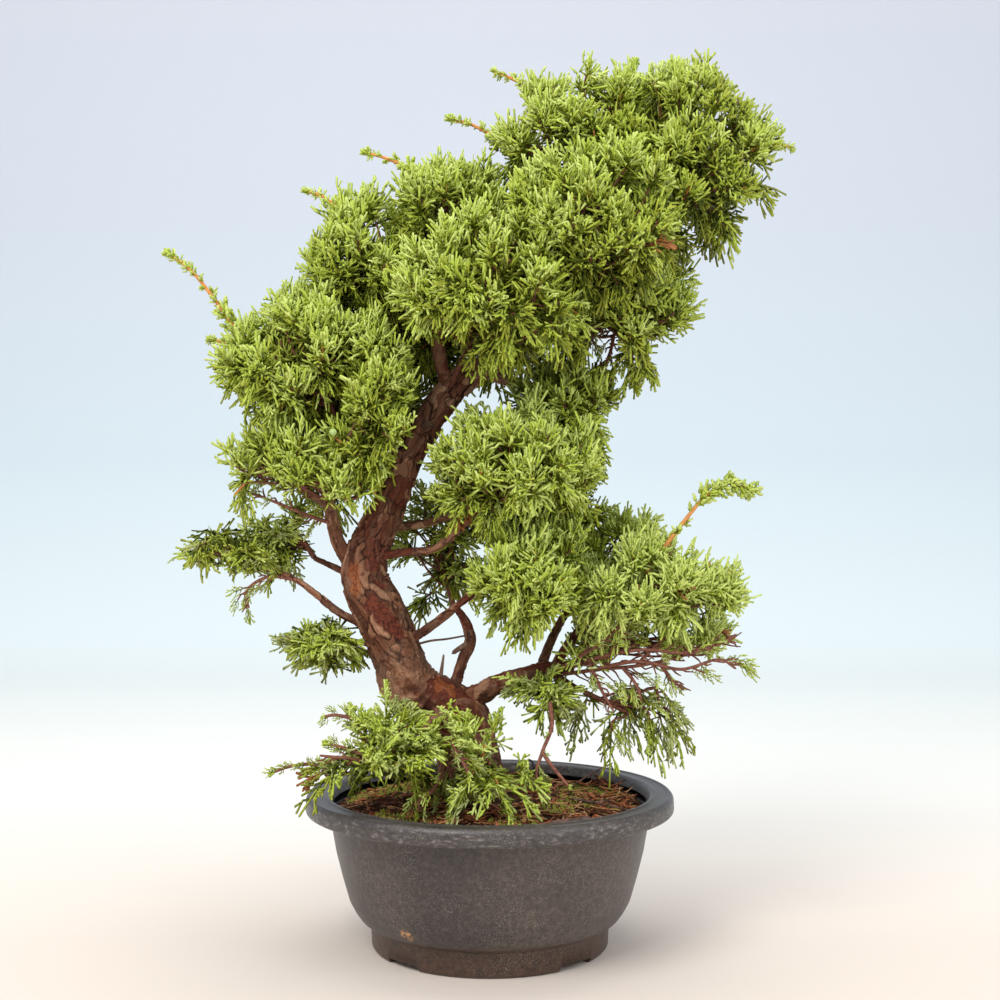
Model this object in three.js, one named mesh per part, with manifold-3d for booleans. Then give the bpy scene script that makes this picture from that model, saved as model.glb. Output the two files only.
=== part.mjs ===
// Itoigawa Chinese juniper grown as a leaning bonsai, in a round plastic training pot.
// Millimetres, +Z up, seen from -Y. The origin is the centre of the pot's underside.
import * as THREE from "three";
import { mergeVertices } from "three/addons/utils/BufferGeometryUtils.js";
import Module from "manifold-3d";

const wasm = await Module();
wasm.setup();

// Driving dimensions
const RIM_RADIUS = 125; // outside of the pot's flat rim
const RIM_TOP = 104;
const FOOT_RADIUS = 81;
const FOOT_HEIGHT = 18;
const WALL = 3;
const SOIL_TOP = 96;
const GAP = 0.3; // clear space between two solids that touch
const TIP_CLEARANCE = 0.5; // from a leaf or a twig to a limb
const CORE_SHARE = 0.6; // of a dense mass's reach
const LEAF_DEPTH = 2.2; // thickness of a spray at its middle

// Materials
const colours = {
  pot: [0x2c2d30, 0.62],
  soil: [0x3a2a1a, 0.95],
  bark: [0x7a5240, 0.85],
  foliage: [0x6f9a2e, 0.6],
};
const materials = Object.fromEntries(
  Object.entries(colours).map(([name, [color, roughness]]) => [
    name,
    new THREE.MeshStandardMaterial({ color, roughness, metalness: 0 }),
  ]),
);

// Trunk: centreline and radius, from the flat cut on the soil to where it enters the top mass.
const TRUNK = [
  [-11, 20, SOIL_TOP + GAP, 19.5],
  [-14, 20, 111, 20.5],
  [-17, 19, 131, 20.3],
  [-21, 17, 149, 19.4],
  [-36, 13, 160, 20.5],
  [-54, 8, 172, 20.5],
  [-63, 3, 193, 17.3],
  [-70, -1, 212, 17],
  [-78, -4, 231, 17.2],
  [-86, -6, 250, 14.8],
  [-83, -5, 270, 13.2],
  [-76, -3, 285, 11.6],
  [-68, 0, 302, 10],
  [-61, 3, 319, 9.6],
  [-52, 6, 338, 9.5],
  [-41, 9, 357, 9.4],
  [-30, 12, 374, 9.2],
  [-17, 14, 387, 8.6],
  [0, 14, 395, 7.8],
  [21, 14, 409, 6.9],
  [46, 13, 432, 6.1],
  [73, 12, 460, 5.3],
  [99, 11, 488, 4.4],
  [124, 9, 517, 3.3],
];

// Boughs: each starts inside the limb that carries it, and is cut clear of that limb.
const BOUGHS = {
  bough_left_rise: {
    on: "trunk",
    path: [
      [-90, -6, 250, 5],
      [-103, -10, 276, 4.4],
      [-108, -14, 302, 4],
      [-105, -18, 322, 3.6],
      [-98, -20, 344, 3],
    ],
  },
  bough_left_mid: {
    on: "bough_left_rise",
    path: [
      [-108, -14, 298, 2.8],
      [-118, -15, 304, 2.4],
      [-128, -17, 309, 1.9],
    ],
  },
  bough_left_low: {
    on: "trunk",
    path: [
      [-82, -4, 215, 3.1],
      [-100, -6, 224, 2.7],
      [-132, -7, 248, 2.2],
      [-148, -8, 254, 1.8],
    ],
  },
  bough_left_back: {
    on: "trunk",
    path: [
      [-86, -2, 248, 2.8],
      [-104, 10, 254, 2.3],
      [-122, 17, 262, 1.8],
    ],
  },
  bough_left_rear: {
    on: "trunk",
    path: [
      [-53, 7, 336, 3],
      [-66, 15, 346, 2.6],
      [-84, 26, 352, 2.1],
    ],
  },
  bough_right_inner: {
    on: "trunk",
    path: [
      [-72, -1, 205, 3.7],
      [-52, -3, 209, 3.1],
      [-39, -3, 217, 2.8],
      [-25, -4, 228, 2.7],
      [-8, -10, 242, 2.3],
    ],
  },
  bough_twisted: {
    on: "trunk",
    path: [
      [-27, 14, 164, 4.4],
      [-23, 14, 179, 3.9],
      [-19, 15, 191, 3.5],
      [-14, 18, 203, 3.7],
      [-16, 22, 214, 3.3],
      [-26, 31, 228, 2.3],
    ],
  },
  snag: {
    on: "trunk",
    path: [
      [-37, 10, 167, 2.7],
      [-34, 9, 181, 1.8],
      [-32, 8, 195, 0.6],
    ],
  },
  bough_right_low: {
    on: "trunk",
    path: [
      [-24, 15, 160, 8],
      [-5, 13, 169, 7],
      [5, 12, 175, 6.6],
      [18, 9, 179, 6.2],
      [36, 4, 185, 5.5],
      [56, 0, 189, 4.4],
    ],
  },
  bough_right_shoot: {
    on: "bough_right_low",
    path: [
      [44, 2, 187, 3.6],
      [54, -8, 206, 3.1],
      [72, -16, 226, 2.4],
    ],
  },
  bough_right_rear: {
    on: "bough_right_low",
    path: [
      [34, 5, 184, 3.5],
      [44, 20, 208, 2.9],
      [60, 34, 234, 2.2],
    ],
  },
  bough_pendant: {
    on: "bough_right_low",
    path: [
      [40, 3, 185, 2.4],
      [53, 3, 177, 2],
      [64, 1, 171, 1.5],
    ],
  },
  bough_mid_front: {
    on: "trunk",
    path: [
      [-82, -6, 262, 3.3],
      [-62, -10, 266, 2.8],
      [-38, -14, 269, 2.5],
      [-18, -22, 284, 2],
    ],
  },
  bough_mid_back: {
    on: "trunk",
    path: [
      [-76, -2, 284, 3.2],
      [-58, 6, 284, 2.8],
      [-26, 18, 291, 2.4],
      [6, 36, 302, 1.9],
    ],
  },
  bough_crown_left: {
    on: "trunk",
    path: [
      [-26, 12, 374, 5.8],
      [-34, 12, 397, 5],
      [-37, 11, 420, 4.4],
      [-40, 10, 447, 3.6],
      [-43, 8, 462, 2.8],
    ],
  },
  bough_crown_west: {
    on: "bough_crown_left",
    path: [
      [-37, 11, 424, 3],
      [-50, 6, 444, 2.5],
      [-62, 2, 456, 2],
    ],
  },
  bough_crown_east: {
    on: "trunk",
    path: [
      [21, 14, 408, 3.4],
      [46, 8, 412, 2.8],
      [66, 2, 416, 2.1],
    ],
  },
  bough_low_east: {
    on: "trunk",
    path: [
      [-6, 14, 391, 3.2],
      [14, 14, 383, 2.7],
      [34, 12, 376, 2],
    ],
  },
  bough_top_mid: {
    on: "trunk",
    path: [
      [84, 12, 472, 3],
      [81, 5, 494, 2.4],
      [75, -1, 510, 1.9],
    ],
  },
};

// Foliage masses: centre, reach along X, Y and Z, and the limb that carries the stem. at is where a stem
// leaves the trunk; without it the stem goes on from the bough's tip. A loose mass has no core.
// A shoot is a long tip that stands out of its mass.
const MASSES = {
  crown_top: { centre: [130, 0, 534], reach: [74, 68, 78], on: "trunk", shoots: [[209, -4, 541]] },
  crown_top_mid: {
    centre: [62, -6, 546],
    reach: [68, 64, 58],
    on: "bough_top_mid",
    shoots: [
      [1, -6, 596],
      [92, -6, 609],
    ],
  },
  crown_top_left: { centre: [-28, 4, 492], reach: [62, 60, 52], on: "bough_crown_left" },
  crown_west: { centre: [-84, -8, 462], reach: [52, 58, 56], on: "bough_crown_west" },
  crown_front: { centre: [6, -60, 440], reach: [78, 56, 64], on: "trunk", at: [-30, 12, 374] },
  crown_centre: { centre: [66, -58, 480], reach: [68, 54, 66], on: "trunk", at: [46, 13, 432] },
  crown_east: { centre: [88, -8, 428], reach: [58, 62, 54], on: "bough_crown_east" },
  crown_low_east: { centre: [54, 6, 362], reach: [48, 58, 54], on: "bough_low_east" },
  crown_back: { centre: [-24, 62, 440], reach: [78, 60, 74], on: "trunk", at: [0, 14, 395] },
  crown_back_east: { centre: [78, 60, 476], reach: [74, 58, 74], on: "trunk", at: [62, 12, 449] },
  left_top: {
    centre: [-118, -28, 394],
    reach: [72, 60, 60],
    on: "bough_left_rise",
    shoots: [[-216, -26, 469]],
  },
  left_mid: { centre: [-122, -24, 320], reach: [70, 58, 50], on: "bough_left_mid" },
  left_inner: { centre: [-78, -46, 366], reach: [42, 42, 66], on: "trunk", at: [-61, 3, 319] },
  left_rear: { centre: [-100, 44, 370], reach: [66, 58, 70], on: "bough_left_rear" },
  left_back: { centre: [-140, 24, 276], reach: [48, 42, 40], on: "bough_left_back", loose: true },
  left_tip: { centre: [-178, -8, 268], reach: [38, 30, 17], on: "bough_left_low", loose: true },
  mid_front: { centre: [18, -44, 324], reach: [70, 54, 54], on: "bough_mid_front" },
  mid_low: { centre: [30, -32, 252], reach: [52, 50, 48], on: "bough_right_inner" },
  mid_back: { centre: [36, 60, 312], reach: [74, 56, 66], on: "bough_mid_back" },
  right_high: {
    centre: [104, -18, 244],
    reach: [74, 60, 44],
    on: "bough_right_shoot",
    shoots: [[181, -20, 309]],
  },
  right_low: { centre: [108, -8, 206], reach: [74, 52, 30], on: "bough_right_low" },
  right_back: { centre: [84, 46, 256], reach: [58, 50, 52], on: "bough_right_rear" },
  pendant: { centre: [94, -2, 157], reach: [46, 34, 33], on: "bough_pendant", loose: true },
  right_under: {
    centre: [36, -12, 170],
    reach: [32, 34, 30],
    on: "bough_right_low",
    at: [24, 7, 181],
    loose: true,
  },
  under_left: { centre: [-114, 6, 206], reach: [38, 32, 24], on: "trunk", at: [-69, 2, 199], loose: true },
  base_left: {
    centre: [-70, -50, 138],
    reach: [54, 42, 36],
    on: "trunk",
    at: [-27, 15, 157],
    shoots: [[-150, -46, 126]],
  },
  base_right: { centre: [-2, -54, 132], reach: [42, 42, 36], on: "trunk", at: [-15, 20, 121] },
  inner_back: { centre: [-40, 54, 268], reach: [48, 42, 58], on: "bough_twisted" },
};

const vector = ([x, y, z]) => new THREE.Vector3(x, y, z);
const fractional = (x) => x - Math.floor(x);

// A small seeded random generator, so that each run grows the same tree.
function seeded(seed) {
  let state = seed >>> 0;
  return () => {
    state = (state + 0x6d2b79f5) >>> 0;
    let t = Math.imul(state ^ (state >>> 15), 1 | state);
    t = (t + Math.imul(t ^ (t >>> 7), 61 | t)) ^ t;
    return ((t ^ (t >>> 14)) >>> 0) / 2 ** 32;
  };
}

// Solids from geometry, and geometry from solids
function solidOf(geometry) {
  const bare = geometry.clone();
  bare.deleteAttribute("normal");
  bare.deleteAttribute("uv");
  const merged = mergeVertices(bare, 1e-3);
  return new wasm.Manifold(
    new wasm.Mesh({
      numProp: 3,
      vertProperties: merged.attributes.position.array,
      triVerts: new Uint32Array(merged.index.array),
    }),
  );
}

function geometryOf(solid) {
  const mesh = solid.getMesh();
  const geometry = new THREE.BufferGeometry();
  geometry.setAttribute("position", new THREE.BufferAttribute(mesh.vertProperties, 3));
  geometry.setIndex(new THREE.BufferAttribute(mesh.triVerts, 1));
  return geometry.toNonIndexed();
}

const largestBody = (solid) =>
  solid.decompose().reduce((best, body) => (body.volume() > best.volume() ? body : best));

function meshFrom(positions, faces) {
  const geometry = new THREE.BufferGeometry();
  const coordinates = positions.flatMap((point) => point.toArray());
  geometry.setAttribute("position", new THREE.Float32BufferAttribute(coordinates, 3));
  geometry.setIndex(faces.flat());
  return geometry;
}

// Limbs: a tapering tube along a smooth curve. swell adds to the radius by angle and height.
function limbSamples(path, steps) {
  const curve = new THREE.CatmullRomCurve3(path.map(vector));
  const spans = path.length - 1;
  return Array.from({ length: spans * steps + 1 }, (_, i) => {
    const t = i / (spans * steps);
    const span = Math.min(spans - 1, Math.floor(t * spans));
    const radius = THREE.MathUtils.lerp(path[span][3], path[span + 1][3], t * spans - span);
    return { centre: curve.getPoint(t), along: curve.getTangent(t), radius };
  });
}

function limbGeometry(samples, sides, extra, swell) {
  const positions = [];
  const faces = [];
  let across = new THREE.Vector3(1, 0, 0);
  samples.forEach(({ centre, along, radius }, ring) => {
    across = across.clone().addScaledVector(along, -across.dot(along)).normalize();
    const third = new THREE.Vector3().crossVectors(along, across);
    for (let side = 0; side < sides; side++) {
      const angle = (2 * Math.PI * side) / sides;
      const reach = (radius + extra) * (swell ? swell(angle, centre.z) : 1);
      positions.push(
        centre
          .clone()
          .addScaledVector(across, reach * Math.cos(angle))
          .addScaledVector(third, reach * Math.sin(angle)),
      );
      const next = (side + 1) % sides;
      if (ring > 0) {
        const [a, b] = [(ring - 1) * sides + side, (ring - 1) * sides + next];
        faces.push([a, b, b + sides], [a, b + sides, a + sides]);
      }
    }
  });
  const last = positions.length - sides;
  for (let side = 1; side < sides - 1; side++)
    faces.push([0, side + 1, side], [last, last + side, last + side + 1]);
  return meshFrom(positions, faces);
}

const segmentsOf = (samples) =>
  samples.slice(1).map(({ centre, radius }, i) => ({
    line: new THREE.Line3(samples[i].centre, centre),
    radius: Math.max(samples[i].radius, radius),
  }));

// The trunk's foot spreads into roots within a short height above the soil.
const ROOT_LOBES = 5;
const FLARE_HEIGHT = 11;
const rootFlare = (angle, z) =>
  1 + Math.exp(-(z - SOIL_TOP) / FLARE_HEIGHT) * (0.28 + 0.16 * Math.cos(ROOT_LOBES * angle + 0.6));

function makeLimb(name, path) {
  const isTrunk = name === "trunk";
  const samples = limbSamples(path, isTrunk ? 1 : 2);
  if (isTrunk) samples[0].along.set(0, 0, 1);
  const sides = isTrunk ? 12 : 6;
  const swell = isTrunk ? rootFlare : null;
  return {
    segments: segmentsOf(samples),
    solid: solidOf(limbGeometry(samples, sides, 0, swell)),
    grown: solidOf(limbGeometry(samples, sides, GAP, swell)),
    tip: samples.at(-1),
  };
}

// Every mass keeps to its own cell: its ellipsoid, cut by a plane against each neighbour.
function towards(mass, direction) {
  return new THREE.Vector3(
    direction.x * mass.reach[0],
    direction.y * mass.reach[1],
    direction.z * mass.reach[2],
  );
}

function cellPlanes(name) {
  const own = MASSES[name];
  const centre = vector(own.centre);
  return Object.entries(MASSES)
    .filter(([other]) => other !== name)
    .map(([, other]) => {
      const across = vector(other.centre).sub(centre);
      const distance = across.length();
      const direction = across.divideScalar(distance);
      const [near, far] = [towards(own, direction).length(), towards(other, direction).length()];
      return { direction, limit: direction.dot(centre) + (distance * near) / (near + far) - GAP };
    });
}

const inCell = (planes, point) => planes.every(({ direction, limit }) => direction.dot(point) <= limit);

function pullIntoCell(planes, centre, point) {
  const arm = point.clone().sub(centre);
  let share = 1;
  for (const { direction, limit } of planes) {
    const climb = direction.dot(arm);
    if (climb > 0) share = Math.min(share, (limit - direction.dot(centre)) / climb);
  }
  return centre.clone().addScaledVector(arm, share);
}

function clearOfLimbs(from, tips, thickness, limbs) {
  const lines = tips.map((tip) => new THREE.Line3(from, tip));
  return limbs.every(({ segments }) =>
    segments.every(({ line, radius }) =>
      lines.every((own) => own.distanceSqToLine3(line) > (radius + thickness + TIP_CLEARANCE) ** 2),
    ),
  );
}

// A spray is a thin blade with three fingers, from its root to its tip. Along and across are shares of its
// length and width.
const FINGERS = [
  [0.3, 0.09],
  [0.78, 0.5],
  [0.62, 0.15],
];
const MIRRORED = FINGERS.map(([along, across]) => [along, -across]).reverse();
const SPRAY_OUTLINE = [[0, 0], ...FINGERS, [1, 0], ...MIRRORED];

function sprayPoints(root, tip, outward, roll) {
  const along = tip.clone().sub(root);
  const length = along.length();
  along.normalize();
  const side = new THREE.Vector3().crossVectors(along, outward).normalize().applyAxisAngle(along, roll);
  const face = new THREE.Vector3().crossVectors(along, side);
  const place = (share, width, height) =>
    root
      .clone()
      .addScaledVector(along, share * length)
      .addScaledVector(side, width * length)
      .addScaledVector(face, height);
  const outline = SPRAY_OUTLINE.map(([share, width]) => place(share, width, 0));
  return [...outline, place(0.4, 0, LEAF_DEPTH / 2), place(0.4, 0, -LEAF_DEPTH / 2)];
}

function spraySolid(points) {
  const count = SPRAY_OUTLINE.length;
  const faces = [];
  for (let i = 0; i < count; i++) {
    const next = (i + 1) % count;
    faces.push([i, next, count + 1], [next, i, count]);
  }
  return solidOf(meshFrom(points, faces));
}

function twigSolid(from, to, thick, thin) {
  const along = to.clone().sub(from).normalize();
  const samples = [
    { centre: from, along, radius: thick },
    { centre: to, along, radius: thin },
  ];
  return solidOf(limbGeometry(samples, 3, 0, null));
}

// A stem runs from the limb that carries it towards the middle of its mass, thinning as it goes.
const STEM_RADIUS = 1.7;
function stemOf(mass, limbs) {
  const carrier = limbs[mass.on];
  const centre = vector(mass.centre);
  const start = mass.at ? vector(mass.at) : carrier.tip.centre.clone();
  const along = mass.at ? centre.clone().sub(start).normalize() : carrier.tip.along.clone();
  const radius = mass.at ? STEM_RADIUS : Math.min(carrier.tip.radius, STEM_RADIUS + 0.6);
  if (!mass.at) start.addScaledVector(along, GAP);
  const bend = start.distanceTo(centre) * 0.35;
  const path = [
    [...start.toArray(), radius],
    [...start.clone().addScaledVector(along, bend).toArray(), radius * 0.9],
    [...centre.toArray(), radius * 0.7],
  ];
  const samples = limbSamples(path, 2);
  if (!mass.at) samples[0].along.copy(along);
  return { samples, centre, radius };
}

// Directions spread evenly over a sphere, turned by the mass's own seed.
function spread(count, random) {
  const turn = random();
  return Array.from({ length: count }, (_, i) => {
    const z = 1 - (2 * i + 1) / count;
    const angle = 2 * Math.PI * fractional(turn + i * 0.618034);
    const flat = Math.sqrt(1 - z * z);
    return new THREE.Vector3(flat * Math.cos(angle), flat * Math.sin(angle), z);
  });
}

function jitter(random, size) {
  return new THREE.Vector3(random() - 0.5, random() - 0.5, random() - 0.5).multiplyScalar(2 * size);
}

// Sprays lean up and away from the stem, so that they cover the mass like fans and end at its reach, or
// nearer where the cell ends. A loose mass carries them on twigs that fork from the stem.
const SPRAYS_PER_AREA = 0.0037; // for each square millimetre of the mean reach squared
const SPRAY_LEAN = 0.42;
const SHORTENINGS = [1, 0.86, 0.72];

function growMass(name, index, stem, limbs) {
  const mass = MASSES[name];
  const random = seeded(101 + 17 * index);
  const planes = cellPlanes(name);
  const { centre } = stem;
  const pieces = [solidOf(limbGeometry(stem.samples, 4, 0, null))];
  const out = (direction, share) => centre.clone().add(towards(mass, direction).multiplyScalar(share));
  const lean = centre.clone().sub(stem.samples[0].centre).normalize().add(new THREE.Vector3(0, 0, 0.7));

  const addSpray = (root, tip, outward) => {
    const roll = random() - 0.5;
    for (const share of SHORTENINGS) {
      const points = sprayPoints(root, root.clone().lerp(tip, share), outward, roll);
      const inside = points.every((point) => inCell(planes, point));
      if (inside && clearOfLimbs(root, points.slice(1), LEAF_DEPTH / 2, limbs)) {
        pieces.push(spraySolid(points));
        return;
      }
    }
  };
  const addTwig = (from, to, thick, thin) => {
    if (!inCell(planes, to) || !clearOfLimbs(from, [to], thick, limbs)) return false;
    pieces.push(twigSolid(from, to, thick, thin));
    return true;
  };

  if (!mass.loose) pieces.push(makeCore(centre, out, planes, limbs, random));
  const mean = (mass.reach[0] + mass.reach[1] + mass.reach[2]) / 3;
  const count = Math.round(SPRAYS_PER_AREA * mean * mean);
  if (mass.loose) {
    for (const direction of spread(Math.round(count / 2), random)) {
      if (!addTwig(centre, out(direction, 0.5), 1.3, 0.8)) continue;
      addSpray(out(direction, 0.42), out(direction, 1), jitter(random, 1));
      const aim = direction.clone().add(jitter(random, 0.7)).normalize();
      addSpray(out(direction, 0.26), out(aim, 0.85), direction);
    }
  } else {
    for (const direction of spread(count, random)) {
      const rise = lean.clone().addScaledVector(direction, -lean.dot(direction)).normalize();
      const aim = direction.clone().addScaledVector(rise, SPRAY_LEAN).add(jitter(random, 0.2)).normalize();
      addSpray(out(direction, 0.36), out(aim, 0.94 + 0.1 * random()), direction);
    }
  }

  for (const shoot of mass.shoots ?? []) {
    // A long shoot leaves the mass with sprays to both sides.
    const tip = vector(shoot);
    const base = centre.clone().lerp(tip, 0.2);
    const end = centre.clone().lerp(tip, 0.86);
    if (!addTwig(base, end, 1.7, 0.9)) continue;
    const run = tip.clone().sub(centre).normalize();
    addSpray(end.clone().addScaledVector(run, -3), tip, new THREE.Vector3(0, -1, 0));
    for (const hand of [-1, 1]) {
      const lift = new THREE.Vector3(0, 0, hand).addScaledVector(jitter(random, 1), 0.4);
      const root = centre.clone().lerp(tip, 0.78 + 0.04 * hand);
      const reach = run.clone().add(lift).normalize();
      addSpray(root, root.clone().addScaledVector(reach, 17), new THREE.Vector3(0, -1, 0));
    }
  }
  return largestBody(wasm.Manifold.union(pieces));
}

// A dense mass's core is a rough ball, pulled in where its cell is cut, with the limbs cut out of it.
function makeCore(centre, out, planes, limbs, random) {
  const faceted = new THREE.IcosahedronGeometry(1, 1);
  const ball = mergeVertices(faceted.deleteAttribute("normal").deleteAttribute("uv"));
  const position = ball.attributes.position;
  for (let i = 0; i < position.count; i++) {
    const direction = new THREE.Vector3().fromBufferAttribute(position, i);
    const place = pullIntoCell(planes, centre, out(direction, CORE_SHARE * (0.8 + 0.4 * random())));
    position.setXYZ(i, place.x, place.y, place.z);
  }
  return limbs.reduce((core, limb) => core.subtract(limb.grown), solidOf(ball));
}

// Pot: a turned shell with a flat lipped rim and a foot that is notched in four places.
function makePot() {
  const bodyFoot = FOOT_RADIUS + 3;
  const bodyTop = RIM_TOP - 12;
  const bodyTopRadius = 108.4;
  const opening = 110;
  const floorUnder = 4;
  const floorTop = floorUnder + 4;
  const pad = 14;
  const profile = [
    [0, 0],
    [pad, 0],
    [pad + 1.5, floorUnder],
    [FOOT_RADIUS - 11, floorUnder],
    [FOOT_RADIUS - 9.5, 0],
    [FOOT_RADIUS - 2.5, 0],
    [FOOT_RADIUS - 0.8, 2],
    [FOOT_RADIUS, FOOT_HEIGHT - 1],
    [bodyFoot, FOOT_HEIGHT],
    [FOOT_RADIUS + 9, FOOT_HEIGHT + 6],
    [FOOT_RADIUS + 14.5, FOOT_HEIGHT + 15],
    [bodyTopRadius - 4, 66],
    [bodyTopRadius, bodyTop],
    [RIM_RADIUS - 1.5, bodyTop],
    [RIM_RADIUS, bodyTop + 1.5],
    [RIM_RADIUS - 0.4, RIM_TOP - 2.5],
    [RIM_RADIUS - 2.4, RIM_TOP],
    [RIM_RADIUS - 4.2, RIM_TOP],
    [RIM_RADIUS - 4.8, RIM_TOP - 0.8],
    [opening + 3, RIM_TOP - 0.8],
    [opening + 2.4, RIM_TOP],
    [opening, RIM_TOP],
    [opening - 1.6, RIM_TOP - 1.6],
    [bodyTopRadius - WALL + 1, bodyTop + 2],
    [bodyTopRadius - 4 - WALL, 66],
    [FOOT_RADIUS + 14.5 - WALL, FOOT_HEIGHT + 15],
    [FOOT_RADIUS - 1, floorTop],
    [0, floorTop],
  ];
  const shell = new THREE.LatheGeometry(profile.map(([r, z]) => new THREE.Vector2(r, z)), 36);
  shell.rotateX(Math.PI / 2);
  let pot = solidOf(shell);
  const notch = new THREE.Shape([
    new THREE.Vector2(-14, -1),
    new THREE.Vector2(14, -1),
    new THREE.Vector2(9, 3.6),
    new THREE.Vector2(-9, 3.6),
  ]);
  for (let i = 0; i < 4; i++) {
    const cutter = new THREE.ExtrudeGeometry(notch, { depth: 18, bevelEnabled: false });
    cutter.rotateX(Math.PI / 2);
    cutter.translate(0, FOOT_RADIUS + 5, 0);
    cutter.rotateZ(((2 * i + 1) * Math.PI) / 4);
    pot = pot.subtract(solidOf(cutter));
  }
  return pot;
}

// Soil: fills the pot to just under its rim, highest round the trunk.
function makeSoil() {
  const profile = [
    [0, 8 + GAP],
    [FOOT_RADIUS - 1 - GAP, 8 + GAP],
    [FOOT_RADIUS + 14.5 - WALL - GAP, FOOT_HEIGHT + 15],
    [104.4 - WALL - GAP, 66],
    [105.4, SOIL_TOP - 4],
    [80, SOIL_TOP - 1],
    [58, SOIL_TOP],
    [0, SOIL_TOP],
  ];
  const turned = new THREE.LatheGeometry(profile.map(([r, z]) => new THREE.Vector2(r, z)), 32);
  turned.rotateX(Math.PI / 2);
  return solidOf(turned);
}

// Assembly
const limbs = { trunk: makeLimb("trunk", TRUNK) };
for (const [name, { on, path }] of Object.entries(BOUGHS)) {
  limbs[name] = makeLimb(name, path);
  limbs[name].solid = largestBody(limbs[name].solid.subtract(limbs[on].grown));
}

const stems = {};
for (const [name, mass] of Object.entries(MASSES)) {
  stems[name] = stemOf(mass, limbs);
}

const plant = new THREE.Group();
function place(name, solid, material) {
  const mesh = new THREE.Mesh(geometryOf(solid), material);
  mesh.name = name;
  plant.add(mesh);
}

place("pot", makePot(), materials.pot);
place("soil", makeSoil(), materials.soil);
for (const [name, limb] of Object.entries(limbs)) place(name, limb.solid, materials.bark);
Object.keys(MASSES).forEach((name, index) => {
  const others = Object.entries(stems)
    .filter(([other]) => other !== name)
    .map(([, stem]) => ({
      segments: segmentsOf(stem.samples),
      grown: solidOf(limbGeometry(stem.samples, 4, GAP, null)),
    }));
  const grown = growMass(name, index, stems[name], [...Object.values(limbs), ...others]);
  const cut = wasm.Manifold.union(Object.values(limbs).map((limb) => limb.grown));
  place(name, largestBody(grown.subtract(cut)), materials.foliage);
});

export default plant;
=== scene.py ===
"""An Itoigawa Chinese juniper bonsai in a round training pot, dressed on its frame.

Lengths are millimetres until a piece is made, which turns them into metres. X is to the right,
Y away from the camera and Z up, with the origin under the middle of the pot.
"""

import math
from typing import NamedTuple

import bpy
import numpy as np
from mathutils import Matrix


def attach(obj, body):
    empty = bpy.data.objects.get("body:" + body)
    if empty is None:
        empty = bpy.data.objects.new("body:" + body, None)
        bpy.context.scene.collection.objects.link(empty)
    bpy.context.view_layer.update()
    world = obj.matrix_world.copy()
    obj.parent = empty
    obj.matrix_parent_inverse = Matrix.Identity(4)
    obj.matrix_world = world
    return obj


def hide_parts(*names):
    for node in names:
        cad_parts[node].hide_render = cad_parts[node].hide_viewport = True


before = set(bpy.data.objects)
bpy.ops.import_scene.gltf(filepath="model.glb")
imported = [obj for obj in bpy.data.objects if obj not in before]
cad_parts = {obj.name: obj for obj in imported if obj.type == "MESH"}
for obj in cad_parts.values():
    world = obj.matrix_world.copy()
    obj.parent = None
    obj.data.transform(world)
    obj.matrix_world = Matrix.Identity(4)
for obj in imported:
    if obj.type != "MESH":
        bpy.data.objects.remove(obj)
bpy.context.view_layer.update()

MM = 0.001
FULL_TURN = 2 * np.pi
GOLDEN = 2.39996  # the golden angle in radians
UP, ALONG = np.array([0, 0, 1.0]), np.array([0, 1.0, 0])
SOIL_TOP, SOIL_EDGE = 96.0, 106.0

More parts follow.
